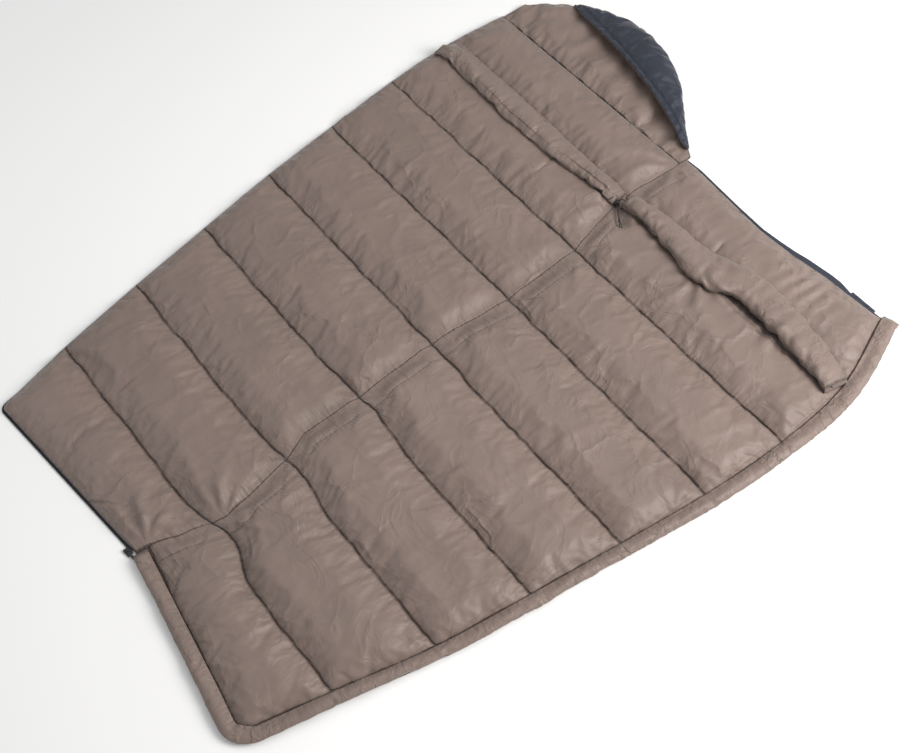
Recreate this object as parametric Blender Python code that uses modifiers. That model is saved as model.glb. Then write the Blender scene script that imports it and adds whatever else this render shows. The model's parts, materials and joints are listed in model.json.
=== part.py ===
"""A mummy sleeping bag with an L-shaped zip, opened flat as a camp quilt, lining side up.

Metres, +Z up. +X runs from the foot to the head and +Y to the back half, which carries
the hood. The origin is on the floor under the middle of the whole object. The lengthwise
seam that joins the two halves is the plan line w = 0 of both.
"""
from math import cos, pi, radians, sin

import bmesh
import bpy
from mathutils import Vector

# ---- driving dimensions -------------------------------------------------------------
BAFFLE = 0.250            # distance between quilting seams
BAFFLES = 6               # whole baffles from the foot datum to the last seam
COLLAR_BAY = 0.240        # from the last quilting seam to the seam under the draft collars
BACK_NECK_BAY = 0.210     # from there to the seam where the hood starts
FRONT_NECK_BAY = 0.238    # from there to the front half's neck edge
FOOT_CENTRE_X = 0.092     # foot hem at the lengthwise seam
FOOT_CORNER_X = 0.042     # foot hem at the back half's outer corner
FRONT_CORNER_X = 0.022    # and at the front half's, which reaches further
BACK_FOOT_W = 0.500       # half width where the straight foot hem ends, back half
FRONT_FOOT_W = 0.490
# Half widths of the hems at the foot corner, at each quilting seam, and at the neck.
BACK_WIDTHS = (0.548, 0.603, 0.652, 0.695, 0.737, 0.767, 0.795, 0.806, 0.790)
FRONT_WIDTHS = (0.532, 0.596, 0.666, 0.714, 0.759, 0.802, 0.826, 0.822, 0.752)

SKIN = 0.0010             # thickness of shell and lining cloth, wadding scrim included
GAP = 0.0004              # space between pieces that touch
LOFT = 0.0280             # height of the lining at the middle of a baffle
SEAM_RISE = 0.0050        # height of the lining at a seam or a hem
PAD_SHARE = 0.76          # the wadding's height as a share of the lining's

COLLAR_W = 0.074          # back collar, seam to free edge
COLLAR_H = 0.020          # its thickness
FRONT_COLLAR_W = 0.066
FRONT_COLLAR_H = 0.030
COLLAR_START = 0.026      # distance of the collars' inner ends from the lengthwise seam
BACK_COLLAR_END = 0.028   # distance of their outer ends from the hem
FRONT_COLLAR_END = 0.044

TUBE_W = 0.036            # draft tube's width
TUBE_H = 0.022            # draft tube's thickness
TUBE_CORNER = 0.060       # radius of its path round the foot corner
WALL = 0.0010             # cloth of the tubes

HOOD_LOFT = 0.0160        # height of the hood floor's lining
HOOD_RISE = 0.030         # height of the pocket under the hood's rim
HOOD_CLEAR = 0.0025       # space between the hood's floor and its folded-down wall
HOOD_PAD = 0.018          # thickness of the hood wall's wadding
HOOD_TIP = 0.006          # thickness of the hood wall's wadding where it is thinnest

TAPE_W = 0.013            # zip tape, with its part inside the hem
TAPE_OUT = 0.0062         # its part outside the hem
TAPE_T = 0.0008
COIL_W = 0.0030
COIL_H = 0.0024
BACK_ZIP_START = 0.0045   # the chains start this far from the lengthwise seam
FRONT_ZIP_START = 0.0200
BACK_CORNER = 0.030       # radius of the back half's foot corner
SLIDER_L = 0.0150
SLIDER_W = 0.0152
SLIDER_H = 0.0052
SLIDER_AT = 0.014         # slider's middle from the lengthwise seam
SLIDER_ROOF = 0.0011      # its top plate
SLIDER_POST = 0.0011      # half the post between its two channels
BRIDGE = (0.0090, 0.0032, 0.0040)         # the bridge that holds the pull
BRIDGE_EYE = (0.0044, 0.0006, 0.0027)     # its eye: length, lowest and highest point
PULL_L = 0.0300
PULL_W = 0.0070
PULL_T = 0.0016

CORD_D = 0.0025
CORD_CLEAR = 0.0004       # space between the two cords in the lock
CORD_ROOM = 0.0013        # space round a cord in its collar
CORD_Z = 0.0300           # height of the cords between the collars and the knot
LOCK_AT = (-0.050, 0.004) # plan place of the lock, from the collars' seam
KNOT_AT = (-0.085, -0.043)
TAIL_L = 0.026            # length of the cord's tails past the knot
LOCK_D = 0.0130           # cord lock's body
LOCK_DOWN = 0.0105        # its underside and its top, from the cords' height
LOCK_UP = 0.0055
PLUNGER_D = 0.0084
PLUNGER_OUT = 0.0040      # height of the plunger's head above the body
PRESS = 0.0030            # the plunger's travel
FIT = 0.0003              # running clearance of what slides in the lock and the slider
KNOT_R = 0.0042
TAB_W = 0.080             # neck tab's length along the neck edge
TAB_OUT = 0.014           # how far it stands out
TAB_T = 0.0020
TAB_FROM_HEM = 0.062
FOLD_AXIS_Z = 0.056       # height of the axis about which the front half folds over

# ---- values worked out from them ----------------------------------------------------
CORD_PAIR = CORD_D + CORD_CLEAR           # distance between the cords' middles
COLLAR_X = BAFFLE * BAFFLES + COLLAR_BAY
BACK_NECK_X = COLLAR_X + BACK_NECK_BAY
FRONT_NECK_X = COLLAR_X + FRONT_NECK_BAY
SEAMS = [BAFFLE * k for k in range(1, BAFFLES + 1)] + [COLLAR_X]
COIL_N = TAPE_OUT + GAP + COIL_W / 2      # the coil's middle, outside the hem
HOOD_END_X = BACK_NECK_X + 0.270
CENTRE = Vector((-(FOOT_CORNER_X - COIL_N - COIL_W / 2 + HOOD_END_X) / 2,
                 (max(FRONT_WIDTHS) - max(BACK_WIDTHS)) / 2, 0))
LINING_LOW = SKIN + GAP
TAPE_Z = SKIN + 3 * GAP   # underside of the zip tape, between shell and lining

BROWN = (0.215, 0.165, 0.140)
NAVY = (0.045, 0.052, 0.075)
WHITE = (0.80, 0.80, 0.78)
BLACK = (0.012, 0.012, 0.014)
STEEL = (0.45, 0.45, 0.46)

for old in list(bpy.data.objects):
    bpy.data.objects.remove(old, do_unlink=True)
parts = bpy.data.collections.new("camp_quilt")
cutters = bpy.data.collections.new("cutters")
cutters.hide_render = True
bpy.context.scene.collection.children.link(parts)
bpy.context.scene.collection.children.link(cutters)
root = bpy.data.objects.new("camp_quilt_frame", None)
root.location = CENTRE
parts.objects.link(root)


def material(name, colour, roughness=0.6, metallic=0.0):
    found = bpy.data.materials.get(name) or bpy.data.materials.new(name)
    found.use_nodes = True
    shader = found.node_tree.nodes["Principled BSDF"]
    shader.inputs["Base Color"].default_value = (*colour, 1)
    shader.inputs["Roughness"].default_value = roughness
    shader.inputs["Metallic"].default_value = metallic
    return found


LINING_CLOTH = material("lining_cloth", BROWN, 0.45)
SHELL_CLOTH = material("shell_cloth", NAVY, 0.5)
WADDING = material("wadding", WHITE, 0.9)
CORD_YARN = material("cord_yarn", BLACK, 0.8)
MOULDED = material("moulded_black", BLACK, 0.4)
ZIP_CLOTH = material("zip_cloth", BLACK, 0.85)
METAL = material("slider_metal", STEEL, 0.35, 1.0)


def add(name, data, look, smooth=True):
    """Link an object made from a bmesh or a mesh, under the quilt's frame."""
    mesh = data
    if isinstance(data, bmesh.types.BMesh):
        mesh = bpy.data.meshes.new(name)
        data.to_mesh(mesh)
        data.free()
    if smooth:
        mesh.shade_smooth()
        mesh.set_sharp_from_angle(angle=radians(40))
    mesh.materials.clear()
    mesh.materials.append(look)
    made = bpy.data.objects.new(name, mesh)
    made.parent = root
    parts.objects.link(made)
    return made


def between(values, place):
    """Smooth value at a fractional place in a short list (Catmull-Rom)."""
    k = min(int(place), len(values) - 2)
    t = place - k
    p1, p2 = values[k], values[k + 1]
    p0 = values[k - 1] if k else 2 * p1 - p2
    p3 = values[k + 2] if k + 2 < len(values) else 2 * p2 - p1
    return p1 + 0.5 * t * (p2 - p0 + t * (2 * p0 - 5 * p1 + 4 * p2 - p3
                                          + t * (3 * (p1 - p2) + p3 - p0)))


def spread(low, high, count):
    return [low + (high - low) * k / (count - 1) for k in range(count)]


# ---- plan of one half ---------------------------------------------------------------
class Half:
    """Plan of one half: s counts baffles from the foot, w runs from seam to hem."""

    def __init__(self, side, widths, neck_x, foot_w, corner_x):
        self.side = side
        self.widths = widths
        self.lines = SEAMS + [neck_x]
        self.foot_w = foot_w
        self.corner_x = corner_x

    def foot_x(self, y):
        """Foot hem: a straight run from the lengthwise seam to the corner."""
        return FOOT_CENTRE_X + (self.corner_x - FOOT_CENTRE_X) * y / self.foot_w

    def hem_y(self, s):
        return between(self.widths, s)

    def point(self, s, w, inset=0.0):
        """Plan point at baffle place s and share w, pulled in from the hem by inset."""
        y = (self.hem_y(s) - inset) * w
        k = min(int(s), len(self.lines) - 1)
        low = self.foot_x(y) + inset if k == 0 else self.lines[k - 1]
        return Vector((low + (self.lines[k] - low) * (s - k), self.side * y, 0))


BACK = Half(1, BACK_WIDTHS, BACK_NECK_X, BACK_FOOT_W, FOOT_CORNER_X)
FRONT = Half(-1, FRONT_WIDTHS, FRONT_NECK_X, FRONT_FOOT_W, FRONT_CORNER_X)
BAYS = len(SEAMS) + 1
PUFF_ALONG = ((0.0, 0.0), (0.16, 0.73), (0.50, 1.0), (0.84, 0.73), (1.0, 0.0))
PUFF_ACROSS = ((0.0, 0.0), (0.045, 0.62), (0.20, 1.0), (0.50, 1.0), (0.80, 1.0), (0.95, 0.62),
               (1.0, 0.0))
ALONG = [place for place, rise in PUFF_ALONG[:-1]]      # places s inside a baffle
ACROSS = [share for share, rise in PUFF_ACROSS]         # shares w of the grids


def straight(table, place):
    """Value at place on the straight lines between a table's points."""
    for (a, low), (b, high) in zip(table, table[1:]):
        if place <= b:
            return low + (high - low) * (place - a) / (b - a)
    return table[-1][1]


def crown(s, w):
    """Height of the lining's underside: a low pillow in every baffle."""
    puff = straight(PUFF_ALONG, s % 1.0) * straight(PUFF_ACROSS, w)
    return SEAM_RISE + (LOFT - SEAM_RISE) * puff


def grid_surface(rows, height):
    """A bmesh grid whose points are rows of plan points, raised by height(i, j)."""
    bm = bmesh.new()
    bmesh.ops.create_grid(bm, x_segments=len(rows[0]) - 1, y_segments=len(rows) - 1, size=1)
    bm.verts.ensure_lookup_table()
    wide = len(rows[0])
    for index, vert in enumerate(bm.verts):
        i, j = divmod(index, wide)
        vert.co = rows[i][j] + Vector((0, 0, height(i, j)))
    bmesh.ops.recalc_face_normals(bm, faces=bm.faces)
    if sum(face.normal.z for face in bm.faces) < 0:
        bmesh.ops.reverse_faces(bm, faces=bm.faces)
    return bm


def closed(name, surface, moved, look):
    """Close an open surface into a solid: its second face is moved(point), a new height."""
    copy = bmesh.ops.extrude_face_region(surface, geom=surface.faces[:])
    for item in copy["geom"]:
        if isinstance(item, bmesh.types.BMVert):
            item.co.z = moved(item.co)
    bmesh.ops.recalc_face_normals(surface, faces=surface.faces)
    return add(name, surface, look)


def thicken(name, surface, thickness, look):
    """Turn an open surface into cloth that is this thick, measured upright."""
    return closed(name, surface, lambda point: point.z + thickness, look)


def half_cloths(half, name, hem):
    """Shell, lining and the eight pads of one half; the lining lies flat over the hem."""
    on_hem = [None] if hem else []
    stations = on_hem + [k + u for k in range(BAYS) for u in ALONG] + [float(BAYS)]
    shares = ACROSS + on_hem
    rows = [[plan(half, s, w, hem) for w in shares] for s in stations]
    flat = [[plan(half, float(s), w, 0.0) for w in ACROSS] for s in range(BAYS + 1)]
    thicken(f"{name}_shell", grid_surface(flat, lambda i, j: 0.0), SKIN, SHELL_CLOTH)

    def height(i, j):
        if stations[i] is None or shares[j] is None:
            return TAPE_Z + TAPE_T + GAP
        return LINING_LOW + crown(stations[i], shares[j])

    thicken(f"{name}_lining", grid_surface(rows, height), SKIN, LINING_CLOTH)
    for bay in range(BAYS):
        pad(half, f"{name}_fill_{bay + 1}", bay, hem)


def plan(half, s, w, hem):
    """Plan point of the wadded area, or of the hem's own edge where s or w is None."""
    inset = 0.0 if s is None or w is None else hem
    found = half.point(s or 0.0, 1.0 if w is None else w, inset)
    if w == 0:
        found.y = half.side * GAP / 2
    return found


def pad(half, name, bay, hem):
    """One baffle's wadding, under the same pillow as the lining."""
    places = (0.07, 0.16, 0.50, 0.84, 0.93)
    shares = (0.03, 0.08, 0.20, 0.50, 0.80, 0.92, 0.96)
    rows = [[half.point(bay + u, w, hem) for w in shares] for u in places]

    def height(i, j):
        return LINING_LOW + PAD_SHARE * crown(bay + places[i], shares[j]) - GAP

    closed(name, grid_surface(rows, height), lambda point: SKIN + GAP, WADDING)


half_cloths(BACK, "back", 0.0)
half_cloths(FRONT, "front", TUBE_W)


# ---- tubes of cloth: collars and draft tube -------------------------------------------
def section(name, width, height, sides=12, aside=0.0):
    """Flat outline of a tube, for a curve's bevel; it is a guide and isn't a part."""
    curve = bpy.data.curves.new(name, "CURVE")
    curve.dimensions = "2D"
    spline = curve.splines.new("POLY")
    spline.points.add(sides - 1)
    for k, point in enumerate(spline.points):
        turn = 2 * pi * k / sides
        point.co = (width / 2 * cos(turn) + aside, height / 2 * sin(turn), 0, 1)
    spline.use_cyclic_u = True
    guide = bpy.data.objects.new(name, curve)
    guide.hide_render = True
    guide.display_type = "WIRE"
    cutters.objects.link(guide)
    return guide


def sweep(name, path, look, outline=None, radius=0.0, wall=0.0, sizes=None, cyclic=False):
    """A tube along a path: round, or with an outline; hollow and open where wall is set."""
    curve = bpy.data.curves.new(name, "CURVE")
    curve.dimensions = "3D"
    curve.twist_mode = "Z_UP"
    curve.bevel_resolution = 2
    if outline:
        curve.bevel_mode = "OBJECT"
        curve.bevel_object = outline
    else:
        curve.bevel_depth = radius
    curve.use_fill_caps = not wall
    curve.resolution_u = 1
    spline = curve.splines.new("POLY")
    spline.use_cyclic_u = cyclic
    spline.points.add(len(path) - 1)
    for k, point in enumerate(spline.points):
        point.co = (*path[k], 1)
        point.radius = sizes[k] if sizes else 1.0
    draft = bpy.data.objects.new(name + "_draft", curve)
    parts.objects.link(draft)
    bpy.context.view_layer.update()
    graph = bpy.context.evaluated_depsgraph_get()
    mesh = bpy.data.meshes.new_from_object(draft.evaluated_get(graph))
    bpy.data.objects.remove(draft, do_unlink=True)
    bm = bmesh.new()
    bm.from_mesh(mesh)
    bmesh.ops.remove_doubles(bm, verts=bm.verts, dist=0.00001)
    bmesh.ops.recalc_face_normals(bm, faces=bm.faces)
    made = add(name, bm, look)
    if wall:
        solid = made.modifiers.new("cloth", "SOLIDIFY")
        solid.thickness = wall
        solid.offset = -1
    return made


def collar(half, name, width, height, end, lean, fullness):
    """A draft collar: cover open at both ends, wadding, and its drawcord at the free edge."""
    y = [half.side * v for v in spread(COLLAR_START, half.hem_y(BAYS - 1) - end, 13)]
    z = LINING_LOW + LOFT + SKIN + GAP + height / 2
    path = [Vector((COLLAR_X - width / 2 - lean, v, z)) for v in y]
    sizes = [fullness(k / 12) for k in range(13)]
    sweep(f"{name}_collar_cover", path, LINING_CLOTH, section(f"{name}_collar_edge", width, height),
          wall=WALL, sizes=sizes)
    wadding = section(f"{name}_collar_core", width - 0.022, height - 2 * WALL - 0.004)
    core = [point + Vector((0.006, 0, 0)) for point in path[1:-1]]
    sweep(f"{name}_collar_fill", core, WADDING, wadding, sizes=sizes[1:-1])
    facet = radians(30)     # the cord lies where the cover's first facet is high enough
    tip = max(WALL + CORD_D, ((CORD_D / 2 + WALL + CORD_ROOM) * width * (1 - cos(facet))
                              / (height * sin(facet))))
    cord = [point - Vector(((width / 2 - tip) * size, 0, 0))
            for point, size in zip(path, sizes)]
    sweep(f"{name}_collar_cord", cord, CORD_YARN, radius=CORD_D / 2)


collar(BACK, "back", COLLAR_W, COLLAR_H, BACK_COLLAR_END, -0.004,
       lambda t: 0.86 + 0.14 * sin(pi * min(1.0, 0.5 + t)))
collar(FRONT, "front", FRONT_COLLAR_W, FRONT_COLLAR_H, FRONT_COLLAR_END, -0.010,
       lambda t: 0.80 + 0.20 * sin(pi * t) ** 0.5)


# ---- draft tube, along the front half's foot and side ---------------------------------
def hem_run(half, inward, start, corner, step=0.055):
    """Points along a half's hem, from the foot's middle round the corner to the neck."""
    def foot(y):
        return Vector((half.foot_x(y) + inward, half.side * y, 0))

    def along(x):
        s = place_of(half, x)
        return Vector((x, half.side * (half.hem_y(s) - inward), 0))

    turn_y = half.hem_y(0.2) - inward - corner
    turn_x = foot(turn_y).x + corner
    count = max(2, round(turn_y / step))
    run = [foot(y) for y in spread(start, turn_y, count)]
    end = along(turn_x)
    middle = Vector((turn_x, half.side * turn_y, 0))
    for angle in (18, 36, 54, 72):
        a = radians(angle)
        reach = Vector((-cos(a) * (turn_x - run[-1].x), half.side * sin(a) * (abs(end.y) - turn_y), 0))
        run.append(middle + reach)
    count = round((half.lines[-1] - turn_x) / step)
    run += [along(x) for x in spread(turn_x, half.lines[-1] - GAP, count)]
    return run


def place_of(half, x):
    """Baffle place s of a distance x along the object."""
    for k, line in enumerate(half.lines):
        if x <= line:
            low = half.lines[k - 1] if k else half.corner_x
            return k + (x - low) / (line - low)
    return float(len(half.lines))


TUBE_LOW = LINING_LOW + SEAM_RISE + SKIN + GAP
tube_path = [p + Vector((0, 0, TUBE_LOW + TUBE_H / 2))
             for p in hem_run(FRONT, TUBE_W / 2 - 0.006, 0.012, TUBE_CORNER)]
sweep("draft_tube_cover", tube_path, LINING_CLOTH, section("tube_edge", TUBE_W - 0.008, TUBE_H), wall=WALL)
sweep("draft_tube_fill", tube_path[1:-1], WADDING,
      section("tube_core", TUBE_W - 0.008 - 2 * WALL - 0.004, TUBE_H - 2 * WALL - 0.004))


# ---- hood: its floor and its raised wall ----------------------------------------------
# Distances forward of the hood's base seam and across from the lengthwise seam.
HOOD_OUTLINE = ((0.040, 0.000), (0.092, 0.080), (0.152, 0.152), (0.216, 0.240), (0.258, 0.340),
                (0.270, 0.450), (0.250, 0.550), (0.215, 0.640), (0.165, 0.715), (0.070, 0.790))
HOOD_RIM = ((0.036, 0.040), (0.066, 0.130), (0.090, 0.215), (0.108, 0.300), (0.126, 0.385),
            (0.140, 0.460), (0.152, 0.535), (0.166, 0.615))
WALL_START, WALL_END = 0.03, 0.83      # the raised wall's ends, as shares of the outline
WALL_U = (0.0, 0.10, 0.30, 0.60, 0.90, 1.0)     # outline to rim
WALL_V = spread(0.0, 1.0, 11)                   # along the rim
EDGE_LIFT = ((0.0, 0.0), (0.10, 0.8), (0.30, 1.0), (1.0, 1.0))
PAD_PROFILE = ((0.0, 0.3), (0.10, 0.5), (0.30, 0.9), (0.60, 1.0), (0.90, 0.8), (1.0, 0.7))


def hood_curve(points, share):
    """Plan point on the hood's outline or rim."""
    place = share * (len(points) - 1)
    return Vector((BACK_NECK_X + between([p[0] for p in points], place),
                   between([p[1] for p in points], place), 0))


def hood_floor():
    shares_u = (0.0, 0.10, 0.35, 0.70, 0.93, 1.0)
    shares_v = (0.0, 0.05, 0.15, 0.28, 0.42, 0.56, 0.70, 0.84, 0.95, 1.0)
    puff_u = (0.0, 0.6, 1.0, 1.0, 0.5, 0.0)
    puff_v = (0.0, 0.5, 0.9, 1.0, 1.0, 1.0, 1.0, 0.9, 0.5, 0.0)

    def spot(u, v):
        base = Vector((BACK_NECK_X + GAP, GAP / 2 + (BACK.hem_y(BAYS) - GAP) * v, 0))
        far = hood_curve(HOOD_OUTLINE, v)
        return base.lerp(Vector((far.x, max(far.y, base.y if v == 0 else far.y), 0)), u)

    rows = [[spot(u, v) for v in shares_v] for u in shares_u]
    rise = HOOD_LOFT - SEAM_RISE
    thicken("hood_floor_shell", grid_surface(rows, lambda i, j: 0.0), SKIN, SHELL_CLOTH)
    thicken("hood_floor_lining",
            grid_surface(rows, lambda i, j: LINING_LOW + SEAM_RISE + rise * puff_u[i] * puff_v[j]),
            SKIN, LINING_CLOTH)
    inner = [row[1:-1] for row in rows[1:-1]]
    closed("hood_floor_fill",
           grid_surface(inner, lambda i, j: (LINING_LOW - GAP + SEAM_RISE
                                             + rise * puff_u[i + 1] * puff_v[j + 1])),
           lambda point: SKIN + GAP, WADDING)


def hood_wall():
    def spot(u, v):
        far = hood_curve(HOOD_OUTLINE, WALL_START + (WALL_END - WALL_START) * v)
        return far.lerp(hood_curve(HOOD_RIM, v), u)

    def inner(u, v):
        """Height of the wall's inner face: folded down at the outline, open at the rim."""
        seam = LINING_LOW + SEAM_RISE + SKIN + HOOD_CLEAR
        lift = (HOOD_LOFT + SKIN) * straight(EDGE_LIFT, u)
        return seam + lift + HOOD_RISE * u * sin(pi * v) ** 0.7

    def pad_height(u, v):
        return HOOD_TIP + (HOOD_PAD - HOOD_TIP) * straight(PAD_PROFILE, u) * sin(pi * v) ** 0.5

    rows = [[spot(u, v) for v in WALL_V] for u in WALL_U]
    thicken("hood_wall_lining", grid_surface(rows, lambda i, j: inner(WALL_U[i], WALL_V[j])),
            SKIN, LINING_CLOTH)

    def outer(i, j):
        u, v = WALL_U[i], WALL_V[j]
        return inner(u, v) + SKIN + 2 * GAP + pad_height(u, v)

    thicken("hood_wall_shell", grid_surface(rows, outer), SKIN, SHELL_CLOTH)
    u_in, v_in = WALL_U[1:-1], WALL_V[1:-1]
    core = grid_surface([row[1:-1] for row in rows[1:-1]],
                        lambda i, j: inner(u_in[i], v_in[j]) + SKIN + GAP)
    heights = {(round(vert.co.x, 6), round(vert.co.y, 6)): pad_height(u_in[k // len(v_in)],
                                                                      v_in[k % len(v_in)])
               for k, vert in enumerate(core.verts)}
    closed("hood_wall_fill", core,
           lambda point: point.z + heights[(round(point.x, 6), round(point.y, 6))], WADDING)
    route = []
    for v in spread(0.06, 0.94, 34):
        u = 0.955
        route.append(spot(u, v) + Vector((0, 0, inner(u, v) + SKIN + GAP + pad_height(u, v) / 2)))
    sweep("hood_drawcord", route, CORD_YARN, radius=CORD_D / 2)


hood_floor()
hood_wall()


# ---- zip: tapes and coils in the hems, slider and pull on the back half's foot -----------
def strip(width, height):
    """Rectangular outline for a ribbon."""
    guide = section("strip", 1, 1, 4)
    for point, (x, y) in zip(guide.data.splines[0].points, ((1, 1), (-1, 1), (-1, -1), (1, -1))):
        point.co = (x * width / 2, y * height / 2, 0, 1)
    return guide


def zip_half(half, name, start, corner):
    inward = TAPE_W / 2 - TAPE_OUT
    path = [p + Vector((0, 0, TAPE_Z + TAPE_T / 2))
            for p in hem_run(half, inward, start, corner)]
    sweep(f"{name}_zip_tape", path, ZIP_CLOTH, strip(TAPE_W, TAPE_T))
    bead = section(f"{name}_coil", COIL_W, COIL_H, 6, half.side * (COIL_N + inward))
    sweep(f"{name}_zip_coil", path, MOULDED, bead)


zip_half(BACK, "back", BACK_ZIP_START, BACK_CORNER)
zip_half(FRONT, "front", FRONT_ZIP_START, TUBE_CORNER)


def block(name, look, low, high):
    """A box between two corners."""
    bm = bmesh.new()
    bmesh.ops.create_cube(bm, size=1)
    size = Vector(high) - Vector(low)
    bmesh.ops.scale(bm, vec=size, verts=bm.verts)
    bmesh.ops.translate(bm, vec=(Vector(high) + Vector(low)) / 2, verts=bm.verts)
    return add(name, bm, look, smooth=False)


def turned(name, look, radius, low, high, sides=24):
    """An upright cylinder."""
    bm = bmesh.new()
    bmesh.ops.create_cone(bm, cap_ends=True, segments=sides, radius1=radius, radius2=radius,
                          depth=high - low)
    bmesh.ops.translate(bm, vec=(0, 0, (low + high) / 2), verts=bm.verts)
    return add(name, bm, look)


def helper(thing):
    """Make an object a cutter or a piece to be joined: it isn't a part of its own."""
    parts.objects.unlink(thing)
    cutters.objects.link(thing)
    thing.hide_render = True
    thing.display_type = "WIRE"
    return thing


def combine(thing, other, operation):
    helper(other)
    made = thing.modifiers.new(other.name, "BOOLEAN")
    made.operation = operation
    made.object = other
    made.solver = "EXACT"


def put(things, place, angle):
    for thing in things:
        thing.location = place
        thing.rotation_euler = (0, 0, angle)


def slider_and_pull():
    """Slider with two channels and a bridge; +X runs along the hem, +Y towards the outside."""
    run = Vector((FOOT_CORNER_X - FOOT_CENTRE_X, BACK_FOOT_W, 0)).normalized()
    out = Vector((-run.y, run.x, 0))
    lane = COIL_W / 2 + FIT
    coil_y = -(lane + SLIDER_POST)
    half_l, half_w = SLIDER_L / 2, SLIDER_W / 2
    middle = TAPE_Z + TAPE_T / 2
    roof = middle + COIL_H / 2 + FIT
    floor = middle - COIL_H / 2 - FIT
    top = roof + SLIDER_ROOF
    body = block("zip_slider", METAL, (-half_l, -half_w, FIT), (half_l, half_w, top))
    bridge_l, bridge_w, bridge_h = BRIDGE
    arch = block("slider_bridge", METAL, (-bridge_l / 2, -bridge_w / 2, top - SLIDER_ROOF / 2),
                 (bridge_l / 2, bridge_w / 2, top + bridge_h))
    combine(body, arch, "UNION")
    for sign, side in ((-1, "near"), (1, "far")):
        y = sign * -coil_y
        combine(body, block(f"lane_{side}", METAL, (-0.01, y - lane, floor), (0.01, y + lane, roof)),
                "DIFFERENCE")
        near, far = sorted((y, sign * 0.012))
        combine(body, block(f"slot_{side}", METAL, (-0.01, near, middle - TAPE_T / 2 - FIT),
                            (0.01, far, middle + TAPE_T / 2 + FIT)), "DIFFERENCE")
    eye_l, eye_low, eye_high = BRIDGE_EYE
    eye_z = top + (eye_low + eye_high) / 2
    combine(body, block("bridge_eye", METAL, (-eye_l / 2, -bridge_w, top + eye_low),
                        (eye_l / 2, bridge_w, top + eye_high)), "DIFFERENCE")
    bar = 0.0007
    pull = block("zip_pull", METAL, (-PULL_L, -PULL_W / 2, -PULL_T / 2), (bar, PULL_W / 2, PULL_T / 2))
    window = block("pull_window", METAL, (-0.0066, -0.0022, -0.01), (-bar, 0.0022, 0.01))
    combine(pull, window, "DIFFERENCE")
    combine(pull, block("bar_relief_top", METAL, (-bar * 3, -0.0022, bar), (0.01, 0.0022, 0.01)),
            "DIFFERENCE")
    combine(pull, block("bar_relief_under", METAL, (-bar * 3, -0.0022, -0.01), (0.01, 0.0022, -bar)),
            "DIFFERENCE")
    hem = Vector((FOOT_CENTRE_X, 0, 0)) + run * SLIDER_AT
    place = hem + out * (COIL_N - coil_y)
    angle = run.to_2d().angle_signed(Vector((1, 0)))
    shapes = [thing for thing in list(parts.objects) + list(cutters.objects)
              if thing.name.startswith(("zip_slider", "slider_", "lane_", "slot_", "bridge_"))]
    put(shapes, place, angle)
    put([thing for thing in list(parts.objects) + list(cutters.objects)
         if thing.name.startswith(("zip_pull", "pull_", "bar_"))],
        place + Vector((0, 0, eye_z)), angle)
    stop = block("zip_bottom_stop", METAL, (0, -0.0050, FIT), (0.0030, 0.0105, middle + COIL_H / 2 + 0.0008))
    put([stop], Vector((FOOT_CENTRE_X, 0, 0)) + run * 0.0006 + out * 0.0085, angle)


slider_and_pull()


# ---- collar drawcord, its lock and its knot -----------------------------------------------
LOCK = Vector((COLLAR_X + LOCK_AT[0], LOCK_AT[1], CORD_Z))
KNOT = Vector((COLLAR_X + KNOT_AT[0], KNOT_AT[1], CORD_Z))
PULL_WAY = (KNOT - LOCK).normalized()
ACROSS_WAY = Vector((-PULL_WAY.y, PULL_WAY.x, 0))


def smooth_route(points, count):
    """Evenly placed points on a smooth curve through a route's own points."""
    line = []
    for k in range(count):
        place = (len(points) - 1) * k / (count - 1)
        line.append(Vector([between([p[axis] for p in points], place) for axis in range(3)]))
    return line


# Each strand's route, from its collar to the lock's mouth; x is from the collars' seam.
BACK_ROUTE = ((-0.0620, 0.0242, 0.0410), (-0.0550, 0.0232, 0.0420), (-0.0440, 0.0228, 0.0410),
              (-0.0365, 0.0215, 0.0375), (-0.0360, 0.0180, 0.0330))
FRONT_ROUTE = ((-0.0475, -0.0235, 0.0450), (-0.0400, -0.0225, 0.0455), (-0.0315, -0.0180, 0.0440),
               (-0.0275, -0.0070, 0.0390), (-0.0290, 0.0040, 0.0335), (-0.0340, 0.0090, 0.0310))


def strand(name, route, side):
    """One cord end: out of its collar, through the lock, to the knot."""
    aside = ACROSS_WAY * side * CORD_PAIR / 2
    mouth = [LOCK + PULL_WAY * d + aside for d in (-0.0105, -0.0065, 0.0, 0.010, 0.020, 0.030, 0.040)]
    end = KNOT - PULL_WAY * (KNOT_R + GAP) + aside
    lead = [Vector((COLLAR_X, 0, 0)) + Vector(p) for p in route]
    sweep(name, smooth_route(lead + mouth + [end], 44), CORD_YARN,
          radius=CORD_D / 2)


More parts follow.
